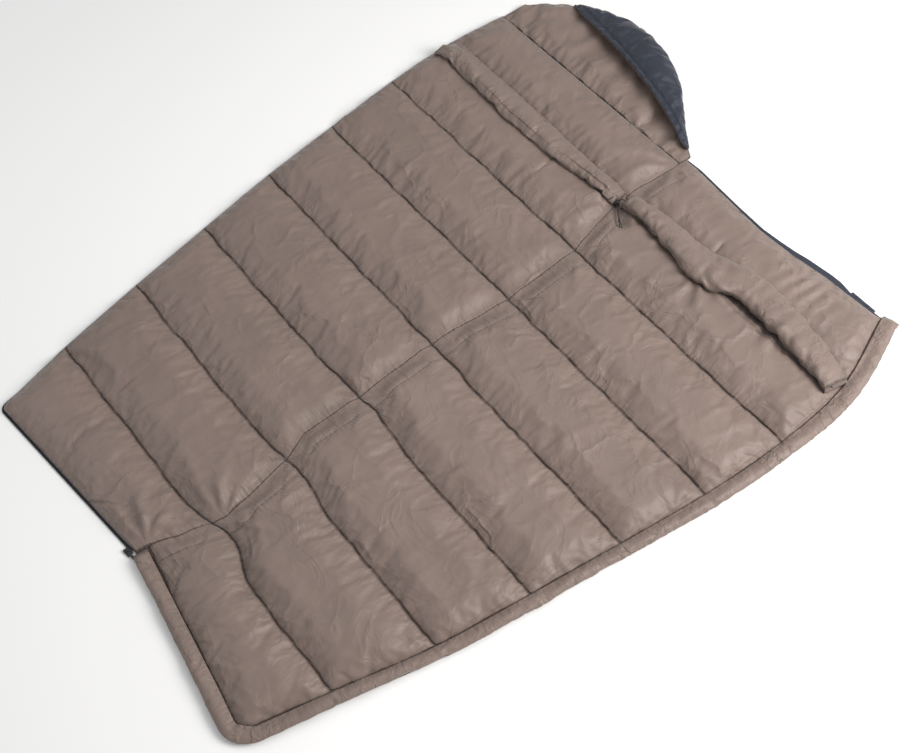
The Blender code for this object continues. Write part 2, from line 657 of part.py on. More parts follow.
def cord_lock():
    angle = Vector((1, 0)).angle_signed(PULL_WAY.to_2d()) * -1
    radius = LOCK_D / 2
    body = turned("cord_lock_body", MOULDED, radius, -LOCK_DOWN, LOCK_UP)
    bore = PLUNGER_D / 2 + FIT
    floor = -LOCK_DOWN + 0.0015
    combine(body, turned("lock_bore", MOULDED, bore, floor, 0.02), "DIFFERENCE")
    wide = (CORD_PAIR + CORD_D) / 2 + FIT
    high = CORD_D / 2 + FIT
    combine(body, block("lock_slot", MOULDED, (-0.01, -wide, -high), (0.01, wide, high)), "DIFFERENCE")
    plunger = turned("cord_lock_button", MOULDED, PLUNGER_D / 2, floor + 0.0050, LOCK_UP + PLUNGER_OUT)
    combine(plunger, block("button_slot", MOULDED, (-0.01, -wide, -high), (0.01, wide, high + PRESS)),
            "DIFFERENCE")
    coil = [Vector((0.0030 * cos(t), 0.0030 * sin(t), floor + 0.0006 + 0.0038 * t / (7 * pi)))
            for t in spread(0, 7 * pi, 43)]
    spring = sweep("cord_lock_spring", coil, METAL, radius=0.00025)
    put([body, plunger, spring] + [thing for thing in cutters.objects
                                   if thing.name in ("lock_bore", "lock_slot", "button_slot")],
        LOCK, angle)


def knot():
    bm = bmesh.new()
    bmesh.ops.create_uvsphere(bm, u_segments=16, v_segments=10, radius=KNOT_R)
    ball = add("cord_knot", bm, CORD_YARN)
    ball.location = KNOT
    for side in (-1, 1):
        aside = ACROSS_WAY * side * CORD_PAIR / 2
        start = aside + PULL_WAY * KNOT_R * 0.3
        end = aside * 1.8 + PULL_WAY * (KNOT_R + TAIL_L)
        tail = sweep(f"tail_{side}", [start, start.lerp(end, 0.5), end], CORD_YARN, radius=CORD_D / 2)
        tail.location = KNOT
        combine(ball, tail, "UNION")


strand("back_strand", BACK_ROUTE, -1)
strand("front_strand", FRONT_ROUTE, 1)
cord_lock()
knot()


def neck_tab():
    """Small tab of shell cloth at the front half's neck edge."""
    far = TAB_FROM_HEM - FRONT_WIDTHS[-1]
    block("neck_tab", SHELL_CLOTH, (FRONT_NECK_X + GAP, far, SKIN),
          (FRONT_NECK_X + TAB_OUT, far + TAB_W, SKIN + TAB_T))


neck_tab()


# ---- the front half turns with an empty on its fold axis ---------------------------------
fold = bpy.data.objects.new("front_fold_axis", None)
fold.location = (0, 0, FOLD_AXIS_Z)
fold.parent = root
parts.objects.link(fold)
for thing in parts.objects:
    if thing.name.startswith(("front_lining", "front_shell", "front_fill", "front_collar", "front_zip",
                              "draft_tube", "neck_tab", "front_strand", "back_strand", "cord_")):
        thing.parent = fold
        thing.location.z -= FOLD_AXIS_Z
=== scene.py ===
"""Looks of the camp quilt: a mummy sleeping bag opened flat, lining side up.

Metres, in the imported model's own frame: +X from the foot to the head, +Y to the back half
with the hood, +Z up, the floor at z = 0.
"""
import json
from math import cos, pi, radians, sin

import bmesh
import bpy
import numpy as np
from mathutils import Matrix, Vector, noise
from mathutils.bvhtree import BVHTree

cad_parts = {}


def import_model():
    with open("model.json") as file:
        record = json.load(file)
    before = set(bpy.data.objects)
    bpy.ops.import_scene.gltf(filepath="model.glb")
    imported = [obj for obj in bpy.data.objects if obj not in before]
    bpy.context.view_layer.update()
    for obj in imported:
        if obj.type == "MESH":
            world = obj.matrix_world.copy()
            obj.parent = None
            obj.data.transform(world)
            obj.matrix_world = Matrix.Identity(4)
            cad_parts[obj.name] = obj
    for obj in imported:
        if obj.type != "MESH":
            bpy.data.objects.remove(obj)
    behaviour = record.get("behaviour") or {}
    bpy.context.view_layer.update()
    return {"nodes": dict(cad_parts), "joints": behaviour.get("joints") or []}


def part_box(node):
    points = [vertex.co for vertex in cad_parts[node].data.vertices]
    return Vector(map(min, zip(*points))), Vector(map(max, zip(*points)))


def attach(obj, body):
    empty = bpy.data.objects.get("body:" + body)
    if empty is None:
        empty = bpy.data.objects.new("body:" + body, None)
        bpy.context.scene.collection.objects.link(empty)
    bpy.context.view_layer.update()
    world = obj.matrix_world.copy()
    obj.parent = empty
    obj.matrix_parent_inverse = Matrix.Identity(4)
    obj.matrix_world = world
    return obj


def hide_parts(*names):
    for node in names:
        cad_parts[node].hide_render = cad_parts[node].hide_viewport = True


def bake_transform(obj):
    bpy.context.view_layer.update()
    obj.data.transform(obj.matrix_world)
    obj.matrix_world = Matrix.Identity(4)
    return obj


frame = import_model()

# ---- named sizes ----
CELL = 0.0070             # spacing of the lining's and the shell's cloth grids
TUBE_CELL = 0.0060        # spacing of rings along a tube
COLLAR_END = 0.012        # length over which a collar's ends are pressed flat
TUBE_END = 0.020          # the same for the draft tube
TUBE_HIGH = 0.018         # the draft tube's height
TUBE_INSET = 0.011        # the draft tube's middle, from the hem
TUBE_PAST = 4             # rings of the draft tube that stand past the neck edge
TUBE_CLEAR = 0.0010       # space under a tube
TUBE_THIN = 0.0035        # height of a tube at its pressed ends
SKIN = 0.0010             # thickness of the cloth
GAP = 0.0004              # space between pieces that lie on each other
HOLLOW = 0.0032           # how far the quilting lifts the underside off the floor
HOLLOW_REACH = 0.011      # distance from a seam over which the underside comes down
PUFF_REACH = 0.016        # distance from a seam over which a baffle swells
SPINE_RISE = 0.66         # the lining's height over the lengthwise seam, as a share of a baffle's
BAND = 0.052              # the flat band beside that seam, on the front half
SLACK = 0.026             # share by which the cloth is longer than its seams
CORNER = 0.060            # radius of the front half's foot corner
STRIP = 0.028             # flat hem under the draft tube
TEETH_OUT = 0.0052        # middle of the zip's teeth, outside the hem
TUCK = 0.0050             # how far the zip is drawn in where the hem hides it
TAPE_OUT, TAPE_IN = 0.0040, -0.0090       # the tape's edges, from the hem
TAPE_LOW, TAPE_TOP = 0.0022, 0.0030       # the tape's faces, over the floor
TOOTH_PITCH = 0.0026
TOOTH = (0.0016, 0.0034, 0.0026)
CORD_D = 0.0025
KNOT_R = 0.0042
TAIL = 0.026              # length of the cords' ends past the knot
HOOD_OUT = 0.012          # how much fuller the hood's edge is than its plan
HOOD_CHANNEL = 0.020      # stitching of the drawcord's channel, from the hood's rim
TAB_STITCH = 0.004        # stitching across the neck tab, from its end
STITCH = 0.0032           # length of a stitch
BRAID_LAY = 0.0020        # length of the braid's pattern along a cord
HEM_CALM = 0.03           # distance from a hem over which the seams' drift dies out

LINING_SHORT = 0.004      # how far the lining stops short of the neck edge
BAYS = 8
FOLD = Vector(next(j for j in frame["joints"] if j["name"] == "front_fold")["pos_m"])
COLLAR_SEAM = (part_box("back_fill_7")[1].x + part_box("back_fill_8")[0].x) / 2


def world(points):
    """Points given from the collars' seam and the lengthwise seam, in the model's frame."""
    return [Vector((COLLAR_SEAM + x, FOLD.y + y, z)) for x, y, z in points]


LOCK, KNOT = world(((-0.050, 0.004, 0.030), (-0.085, -0.043, 0.030)))
PULL_WAY = (KNOT - LOCK).normalized()
ACROSS_WAY = Vector((-PULL_WAY.y, PULL_WAY.x, 0))
LOCK_R, LOCK_LOW = 0.009, 0.0188      # reach round the lock's track, and the room below it


# ---- camera ----
AZIMUTH, ELEVATION, DISTANCE = radians(-39.70), radians(60.79), 2.873
TARGET = Vector((-0.1452, -0.1010, 0.0))
toward = Vector((cos(ELEVATION) * sin(AZIMUTH), -cos(ELEVATION) * cos(AZIMUTH), sin(ELEVATION)))
lens = bpy.data.cameras.new("camera")
lens.lens, lens.sensor_width = 44.06, 36.0
camera = bpy.data.objects.new("camera", lens)
camera.location = TARGET + toward * DISTANCE
camera.rotation_euler = (-toward).to_track_quat("-Z", "Y").to_euler()
bpy.context.scene.collection.objects.link(camera)
bpy.context.scene.camera = camera


# ---- making and measuring meshes ----
def coordinates(thing):
    found = np.empty(len(thing.data.vertices) * 3)
    thing.data.vertices.foreach_get("co", found)
    return found.reshape(-1, 3)


def move_to(thing, places):
    thing.data.vertices.foreach_set("co", np.ascontiguousarray(places, float).ravel())
    thing.data.update()


def piece(name, bm, *looks, smooth=True):
    """Link a finished bmesh as an object with its materials."""
    mesh = bpy.data.meshes.new(name)
    bm.to_mesh(mesh)
    bm.free()
    if smooth:
        mesh.shade_smooth()
    for look in looks:
        mesh.materials.append(look)
    made = bpy.data.objects.new(name, mesh)
    bpy.context.scene.collection.objects.link(made)
    return made


def grid(rows, columns):
    """A flat bmesh grid whose vertices run row by row."""
    bm = bmesh.new()
    bmesh.ops.create_grid(bm, x_segments=columns - 1, y_segments=rows - 1, size=1)
    return bm


def cloth_grid(name, places, *looks):
    """A grid laid on an array of places, rows by columns by three, facing up."""
    bm = grid(*places.shape[:2])
    for vert, place in zip(bm.verts, places.reshape(-1, 3)):
        vert.co = place
    bm.normal_update()
    if sum(face.normal.z for face in bm.faces) < 0:
        bmesh.ops.reverse_faces(bm, faces=bm.faces)
    return piece(name, bm, *looks)


def mark(thing, name, values):
    """Store one number per vertex for the materials."""
    layer = (thing.data.attributes.get(name)
             or thing.data.attributes.new(name, "FLOAT", "POINT"))
    layer.data.foreach_set("value", np.asarray(values, np.float32).ravel())


def mark_seams(thing, gap, run):
    """Store each vertex's distance to the nearest stitching and its place along it."""
    mark(thing, "stitch_gap", gap)
    mark(thing, "stitch_run", run)


def readings(thing, name):
    found = np.empty(len(thing.data.vertices), np.float32)
    thing.data.attributes[name].data.foreach_get("value", found)
    return found


def close_under(thing, under):
    """Close an open cloth with a second face at the heights in under, one per vertex."""
    bm = bmesh.new()
    bm.from_mesh(thing.data)
    own = bm.verts.layers.int.new("own")
    for k, vert in enumerate(bm.verts):
        vert[own] = k
    made = bmesh.ops.extrude_face_region(bm, geom=bm.faces[:])
    for item in made["geom"]:
        if isinstance(item, bmesh.types.BMVert):
            item.co.z = under[item[own]]
    bm.verts.layers.int.remove(own)
    bmesh.ops.recalc_face_normals(bm, faces=bm.faces)
    bm.normal_update()
    for face in bm.faces:
        face.smooth = True
    for edge in bm.edges:
        edge.smooth = edge.calc_face_angle(0.0) < radians(60)
    bm.to_mesh(thing.data)
    bm.free()


def close_tube(thing, near):
    """Merge a rolled grid's two meeting edges and cap its ends."""
    bm = bmesh.new()
    bm.from_mesh(thing.data)
    bmesh.ops.remove_doubles(bm, verts=bm.verts, dist=near)
    bmesh.ops.holes_fill(bm, edges=[edge for edge in bm.edges if edge.is_boundary])
    bmesh.ops.recalc_face_normals(bm, faces=bm.faces)
    bm.to_mesh(thing.data)
    bm.free()
    thing.data.shade_smooth()


def ripple(places, size, seed):
    """Smooth noise from -1 to 1 at each place, with features of this size."""
    offset = Vector((seed * 7.31, seed * 3.17, seed * 1.93))
    return np.array([noise.noise(Vector(p) / size + offset) for p in places])


def swell(thing, held, pressure, slack, most, frames=18, mass=0.25):
    """Fill a sewn piece by cloth simulation: its cloth is longer than its seams by slack,
    pressure lifts it, held points stay on their seams, and no point moves more than most."""
    before = coordinates(thing)
    seams = thing.vertex_groups.new(name="seams")
    seams.add([int(k) for k in np.flatnonzero(held)], 1.0, "REPLACE")
    cloth = thing.modifiers.new("cloth", "CLOTH")
    settings = cloth.settings
    settings.quality = 5
    settings.mass = mass
    settings.tension_stiffness = 12
    settings.compression_stiffness = 12
    settings.shear_stiffness = 4
    settings.bending_stiffness = 0.05
    settings.air_damping = 2
    settings.use_pressure = True
    settings.uniform_pressure_force = pressure
    settings.vertex_group_mass = seams.name
    settings.shrink_min = -slack
    settings.shrink_max = -slack
    settings.effector_weights.gravity = 0
    cloth.point_cache.frame_end = frames
    scene = bpy.context.scene
    for k in range(1, frames + 1):
        scene.frame_set(k)
    shaped = thing.evaluated_get(bpy.context.evaluated_depsgraph_get())
    after = np.empty(len(before) * 3)
    shaped.data.vertices.foreach_get("co", after)
    moved = after.reshape(-1, 3) - before
    far = np.linalg.norm(moved, axis=1, keepdims=True)
    move_to(thing, before + moved * np.minimum(1.0, most / np.maximum(far, 1e-9)))
    thing.modifiers.remove(cloth)
    thing.vertex_groups.remove(seams)
    scene.frame_set(1)


# ---- plan of the two halves, read from the model's own cloth ----
def crossings(edges, axis, value):
    """Where a cloth's edges cross a line in plan, along the other axis."""
    low, high = edges[:, 0], edges[:, 1]
    cut = (low[:, axis] <= value) != (high[:, axis] <= value)
    share = (value - low[cut, axis]) / (high[cut, axis] - low[cut, axis])
    return low[cut, 1 - axis] + share * (high[cut, 1 - axis] - low[cut, 1 - axis])


def edges_of(node):
    """Both ends of every edge of a node's mesh."""
    mesh = frame["nodes"][node].data
    ends = np.empty(len(mesh.edges) * 2, int)
    mesh.edges.foreach_get("vertices", ends)
    return coordinates(frame["nodes"][node])[ends].reshape(-1, 2, 3)


def smoothed(values, width):
    """A table softened over a few neighbours, ends kept."""
    padded_values = np.pad(values, width, mode="reflect", reflect_type="odd")
    weights = np.hanning(2 * width + 3)[1:-1]
    return np.convolve(padded_values, weights / weights.sum(), mode="valid")


class Half:
    """Plan of one half: s counts bays from the foot, w runs from the lengthwise seam to the hem."""

    def __init__(self, name, side, corner, strip):
        self.name, self.side, self.corner, self.strip = name, side, corner, strip
        edges = edges_of(f"{name}_lining")
        low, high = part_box(f"{name}_lining")
        pads = [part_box(f"{name}_fill_{k}") for k in range(1, BAYS + 1)]
        self.lines = [(a[1].x + b[0].x) / 2 for a, b in zip(pads, pads[1:])] + [high.x]
        self.seam_z, self.top_z = low.z + SKIN, high.z
        self.stations_x = np.linspace(low.x + 0.002, high.x - 0.002, 90)
        self.hems = smoothed(np.array([max(abs(crossings(edges, 0, x) - FOLD.y))
                                       for x in self.stations_x]), 4)
        self.stations_y = np.linspace(0.002, self.hems[0] - 0.004, 30)
        self.feet = np.array([min(crossings(edges, 1, FOLD.y + side * y))
                              for y in self.stations_y])

    def reach(self, x):
        return np.interp(x, self.stations_x, self.hems)

    def foot(self, y):
        return np.interp(y, self.stations_y, self.feet)

    def place(self, s, w, short=0.0):
        """Plan x and distance y from the lengthwise seam, and distances to seams and hems."""
        s, w = np.broadcast_arrays(np.asarray(s, float), np.asarray(w, float))
        bay = np.minimum(s.astype(int), BAYS - 1)
        part = s - bay
        lines = np.array(self.lines)
        lines[-1] -= short
        rough = np.where(bay == 0, self.feet[-1] + (lines[0] - self.feet[-1]) * part,
                         lines[bay - 1] + (lines[bay] - lines[bay - 1]) * part)
        y = w * self.reach(rough)
        low = np.where(bay == 0, self.foot(y), lines[bay - 1])
        x = low + (lines[bay] - low) * part
        from_foot = x - self.foot(y)
        from_side = self.reach(rough) - y
        across, down = (np.clip(1 - d / self.corner, 0, 1) for d in (from_foot, from_side))
        inside = (from_foot < self.corner) & (from_side < self.corner)
        x = np.where(inside, x + self.corner * (across - across * np.sqrt(1 - down ** 2 / 2)), x)
        y = np.where(inside, y - self.corner * (down - down * np.sqrt(1 - across ** 2 / 2)), y)
        to_seam = np.minimum(np.where(bay == 0, 1.0, part * (lines[bay] - low)),
                             np.where(bay == BAYS - 1, 1.0, (1 - part) * (lines[bay] - low)))
        to_hem = np.minimum(np.minimum(from_foot, from_side), lines[-1] - x)
        return x, y, to_seam, to_hem, np.minimum(from_foot, from_side)


BACK = Half("back", 1, 0.012, 0.0)
FRONT = Half("front", -1, CORNER, STRIP)

# The lengthwise seam's sideways wander at places along the quilt, and each quilting seam's
# bulge towards the head beside it.
SPINE_X = (-1.05, -1.00, -0.93, -0.83, -0.70, -0.61, -0.55, -0.36, -0.12, 0.12, 0.36, 0.60,
           0.75, 0.82)
SPINE_Y = (0.0, -0.012, -0.045, -0.070, -0.052, -0.034, -0.010, -0.013, -0.009, -0.033, -0.030,
           0.020, 0.004, 0.0)
BULGE_X = (-1.05, -0.95, -0.876, -0.75, -0.626, -0.50, -0.376, -0.25, -0.126, 0.10)
BULGE = (0.0, 0.012, 0.036, 0.020, 0.016, 0.012, 0.014, 0.008, 0.004, 0.0)
# How far the front half's neck edge stands out towards the head, from its corner to the middle,
# and how far the shell shows beyond it.
NECK_Y = (-0.76, -0.70, -0.525, -0.41, -0.30, -0.18, -0.04, 0.0)
NECK_OUT = (0.012, 0.006, -0.002, -0.017, -0.023, -0.013, 0.0, 0.0)
FACING_Y = (-0.70, -0.61, -0.56, -0.45, -0.36, -0.20, -0.04, 0.0)
FACING = (0.0, 0.002, 0.013, 0.014, 0.008, 0.0035, 0.002, 0.0)
NECK_REACH = 0.14


def wander(x, y, at_hem=1.0):
    """Soft sideways drift of the seams, in plan, away from a straight drawing."""
    near = np.exp(-((y - FOLD.y + 0.02) / 0.20) ** 2)
    close = np.exp(-((y - FOLD.y + 0.07) / 0.10) ** 2)
    places = np.column_stack([x, y, 0 * x])
    drift = at_hem * (0.0050 * ripple(places, 0.075, 3) + 0.0022 * ripple(places, 0.020, 9))
    neck = np.clip(1 - (FRONT.lines[-1] - x) / NECK_REACH, 0, 1) ** 2
    bulge = close * np.interp(x, BULGE_X, BULGE)
    return (x + drift + bulge + neck * np.interp(y, NECK_Y, NECK_OUT),
            y + drift * 0.6 + near * np.interp(x, SPINE_X, SPINE_Y))


# Where the cloth bunches: place, reach, height and number of the folds that spread from it,
# and the direction they favour.
GATHERS = ((0.560, -0.300, 0.130, 0.0075, 9, -100), (-0.829, -0.062, 0.120, 0.0070, 10, 30),
           (-1.000, 0.000, 0.150, 0.0065, 9, 60), (0.370, -0.040, 0.110, 0.0060, 8, -60),
           (0.117, -0.040, 0.080, 0.0045, 8, -40), (0.810, 0.020, 0.160, 0.0060, 9, 130),
           (0.560, 0.030, 0.120, 0.0060, 8, 140), (0.600, 0.780, 0.140, 0.0050, 9, -60),
           (-0.609, -0.030, 0.070, 0.0045, 7, 20), (-0.361, -0.015, 0.070, 0.0040, 7, 0),
           (-0.876, 0.600, 0.120, 0.0045, 8, -60), (0.374, 0.780, 0.100, 0.0040, 7, -90),
           (0.374, -0.790, 0.100, 0.0050, 7, 90), (0.124, -0.780, 0.090, 0.0040, 7, 90),
           (-0.126, 0.740, 0.090, 0.0040, 7, -90), (0.640, -0.560, 0.120, 0.0050, 8, 180))


def gathers(places):
    """Height of the folds that spread from the places where the cloth bunches."""
    found = np.zeros(len(places))
    for x, y, reach, high, folds, way in GATHERS:
        off = places[:, :2] - (x, y)
        far = np.hypot(*off.T)
        close = far < reach * 2.6
        angle = np.arctan2(off[close, 1], off[close, 0])
        bend = 1.6 * ripple(np.column_stack([off[close], 0 * angle]), reach * 0.6, folds)
        toward_way = 0.5 + 0.5 * np.cos(angle - radians(way))
        wave = np.clip(np.sin(folds * angle + bend + x * 40) + 0.25, -0.3, None)
        start = np.clip((far[close] - 0.012) / 0.05, 0, 1)
        found[close] += (high * wave * toward_way * start * start * (3 - 2 * start)
                         * np.exp(-(far[close] / reach) ** 2 * 1.2))
    return found


def long_folds(places):
    """Soft folds: across the baffles, and side by side along the front half's neck."""
    stretched = places * (1.0, 0.45, 1.0)
    wide = ripple(stretched, 0.075, 11)
    sharp = 1 - np.abs(ripple(places * (0.6, 1.0, 1.0), 0.09, 12)) * 3.2
    found = 0.0026 * wide + 0.0030 * np.clip(sharp, 0, 1) ** 2
    neck = (np.clip((places[:, 0] - 0.66) / 0.10, 0, 1)
            * np.clip((-0.01 - places[:, 1]) / 0.06, 0, 1))
    phase = 2 * pi * places[:, 1] / 0.040 + 2.6 * ripple(places, 0.10, 13)
    uneven = np.clip(0.45 + 1.5 * ripple(places, 0.16, 16), 0, 1.2)
    return found * (1 - 0.6 * neck) + neck * uneven * 0.0032 * np.sin(phase + places[:, 0] * 6)


def rise(distance, reach):
    """From 0 at a seam to 1 well away from it."""
    return 1 - np.exp(-np.clip(distance, 0, None) / reach)


def hollow(to_seam):
    return HOLLOW * np.exp(-np.clip(to_seam, 0, None) / HOLLOW_REACH)


def lock_dent(places):
    """Highest the cloth may stand under the track of the cord lock, which presses it down."""
    off = places[:, :2] - np.array(LOCK)[:2]
    way = np.array(PULL_WAY)[:2]
    along = np.clip(off @ way, 0, (KNOT - LOCK).length)
    far = np.linalg.norm(off - along[:, None] * way, axis=1)
    return LOCK_LOW + np.clip(far - LOCK_R, 0, None) * 0.7


def half_grid(half, short=0.0):
    """Places and distances on an even grid over one half: the plan's own x, y and distances,
    then each point in the frame, its drifted x and y, and its place along the nearest seam."""
    ends = [half.feet[-1]] + half.lines
    stations = [np.linspace(k, k + 1, max(2, round((b - a) / CELL)), endpoint=False)
                for k, (a, b) in enumerate(zip(ends, ends[1:]))]
    stations = np.append(np.concatenate(stations), BAYS)
    shares = np.linspace(0, 1, round(max(half.hems) / CELL) + 1)
    found = half.place(stations[:, None], shares[None, :], short)
    x, y, to_seam, to_hem = found[:4]
    flat = np.stack([x, FOLD.y + half.side * y, np.zeros_like(x)], -1).reshape(-1, 3)
    drift = wander(flat[:, 0], flat[:, 1], np.clip(to_hem.ravel() / HEM_CALM, 0, 1))
    along = np.where((y < to_seam).ravel(), flat[:, 0], flat[:, 1])
    return (*found, flat, *drift, along)


def quilted_lining(half, look):
    """The lining and its wadding over one half, swollen between the quilting seams."""
    x, y, to_seam, to_hem, to_tube, flat, spread_x, spread_y, along = half_grid(half, LINING_SHORT)
    to_strip = to_hem if not half.strip else np.minimum(to_tube - half.strip,
                                                         half.lines[-1] - LINING_SHORT - x)
    gap = np.minimum(to_seam, y)
    over_spine = SPINE_RISE + (1 - SPINE_RISE) * (1 - np.exp(-(y / 0.034) ** 2))
    puff = rise(to_seam, PUFF_REACH) * over_spine * rise(to_strip, PUFF_REACH * 0.8)
    height = half.seam_z + 0.74 * (half.top_z - half.seam_z) * puff.ravel()
    loose = np.minimum(gap, np.clip(to_strip, 0, None)).ravel() > CELL * 0.4
    height += loose * (0.0012 * ripple(flat, 0.045, 1) + 0.0010 * ripple(flat, 0.019, 2))
    edge = SKIN + 0.0018 if half.strip else half.seam_z
    height = np.where(to_hem.ravel() < CELL * 0.3, edge, height)
    if half.strip:
        height = np.where(to_strip.ravel() <= 0, SKIN + 0.0026, height)
    thing = cloth_grid(f"{half.name}_quilted_lining",
                       np.stack([spread_x, spread_y, height], -1).reshape(*x.shape, 3), look)
    shown = np.minimum(to_seam, np.minimum(y + 0.0024, np.clip(to_strip, 0, None)))
    if half.side < 0:
        mark(thing, "spine_gap", y)
    calm = np.exp(-np.abs(y - to_seam) / 0.010) * (gap < 0.10)
    mark(thing, "stitch_calm", calm)
    mark_seams(thing, shown, along)
    before = coordinates(thing)
    swell(thing, ~loose, 1.6, SLACK, 0.012)
    from_spine = np.clip(y.ravel() / 0.050, 0, 1)[:, None]
    swollen = from_spine * from_spine * (3 - 2 * from_spine)
    places = before + (coordinates(thing) - before) * swollen
    freedom = (rise(to_seam, 0.016) * (0.35 + 0.65 * rise(y, 0.020))
               * rise(to_strip, 0.014)).ravel()
    run = np.where(y < to_seam, x, y).ravel()
    beside_seam = np.column_stack([run / 0.024, gap.ravel() * 14, half.side + 0 * run])
    puckers = (rise(gap, 0.006) * np.exp(-gap / 0.026) * rise(to_strip, 0.01)).ravel()
    places[:, 2] += freedom * (1.5 * gathers(places) + long_folds(places))
    places[:, 2] += 0.0044 * puckers * (1 - calm.ravel()) * ripple(beside_seam, 1.0, 17)
    if half.side < 0:
        places[:, 2] -= (0.0028 * np.exp(-((y.ravel() - BAND) / 0.006) ** 2)
                         * rise(to_seam, 0.01).ravel())
    floor = SKIN + GAP + hollow(gap).ravel()
    places[:, 2] = np.maximum(np.minimum(places[:, 2], lock_dent(places)), floor + 0.0008)
    move_to(thing, places)
    close_under(thing, floor)
    return thing


def shell_sheet(half, look):
    """The shell under one half: its underside lifts a little along the quilting."""
    x, y, to_seam, to_hem, to_tube, flat, spread_x, spread_y, along = half_grid(half)
    gap = np.minimum(to_seam, y).ravel()
    low = hollow(gap) * (0.75 + 0.25 * ripple(flat, 0.02, 5))
    low *= np.clip(to_hem.ravel() / 0.012, 0, 1)
    if half.strip:
        at_neck = np.clip(1 - (half.lines[-1] - flat[:, 0]) / 0.02, 0, 1)
        spread_x += at_neck * np.interp(flat[:, 1], FACING_Y, FACING)
        low = low + at_neck * 0.0035
    thing = cloth_grid(f"{half.name}_shell_cloth",
                       np.stack([spread_x, spread_y, low + SKIN], -1).reshape(*x.shape, 3), look)
    mark_seams(thing, gap, along)
    close_under(thing, low)
    return thing


# ---- materials ----
def feed(tree, socket, value):
    """Link a socket to an input, or set the input's own value."""
    if isinstance(value, bpy.types.NodeSocket):
        tree.links.new(value, socket)
    else:
        socket.default_value = value


def place_node(tree, kind, values=None, **settings):
    """Add a shader node, set its properties, and fill or link its inputs."""
    made = tree.nodes.new(kind)
    for name, value in settings.items():
        setattr(made, name, value)
    for name, value in (values or {}).items():
        feed(tree, made.inputs[name], value)
    return made


def maths(tree, operation, first, second=0.0, clamp=False):
    """One Math node; either input may be a number or a socket."""
    return place_node(tree, "ShaderNodeMath", {0: first, 1: second}, operation=operation,
                      use_clamp=clamp).outputs[0]


def ranged(tree, value, low, high, out_low=0.0, out_high=1.0, kind="LINEAR"):
    """A value carried from one range to another."""
    return place_node(tree, "ShaderNodeMapRange", {
        "Value": value, "From Min": low, "From Max": high, "To Min": out_low, "To Max": out_high},
        interpolation_type=kind).outputs["Result"]


def noise_of(tree, vector, scale, detail, output="Fac", **more):
    """A noise texture's output."""
    values = {"Vector": vector, "Scale": scale, "Detail": detail}
    return place_node(tree, "ShaderNodeTexNoise", values | more).outputs[output]


def reading(tree, name):
    """A number stored on the piece's vertices."""
    return place_node(tree, "ShaderNodeAttribute", attribute_name=name).outputs["Fac"]


def bump(tree, height, distance, under=None):
    """A bump's normal, laid over another bump if one is given."""
    values = {"Height": height, "Distance": distance}
    if under:
        values["Normal"] = under
    return place_node(tree, "ShaderNodeBump", values).outputs["Normal"]


def effect(name, inputs, outputs):
    """An empty node group with named sockets; returns it, its tree's input and output nodes."""
    group = bpy.data.node_groups.new(name, "ShaderNodeTree")
    for label, kind, start in inputs:
        socket = group.interface.new_socket(label, in_out="INPUT", socket_type=kind)
        if start is not None:
            socket.default_value = start
    for label, kind in outputs:
        group.interface.new_socket(label, in_out="OUTPUT", socket_type=kind)
    return group, group.nodes.new("NodeGroupInput"), group.nodes.new("NodeGroupOutput")


FLOAT, VECTOR = "NodeSocketFloat", "NodeSocketVector"


def weave_effect():
    """Plain weave: two crossing sets of threads, over and under each other, as a bump and as
    painted shade on the threads.
    """
    group, given, result = effect(
        "plain_weave", [("Vector", VECTOR, None), ("Threads", FLOAT, 1400.0)],
        [("Height", FLOAT), ("Painted Thread Shade", FLOAT)])
    spots = place_node(group, "ShaderNodeSeparateXYZ", {"Vector": given.outputs["Vector"]})
    waves = [maths(group, "SINE",
                   maths(group, "MULTIPLY", spots.outputs[axis], given.outputs["Threads"]))
             for axis in "XY"]
    crossing = maths(group, "MULTIPLY", *waves)
    slub = noise_of(group, given.outputs["Vector"], 420.0, 1.0)
    feed(group, result.inputs["Height"],
         maths(group, "ADD", maths(group, "MULTIPLY", crossing, 0.5), slub))
    # A mask of painted shade on the threads, which darkens the cloth's colour.
    feed(group, result.inputs["Painted Thread Shade"], maths(group, "ABSOLUTE", crossing))
    return group


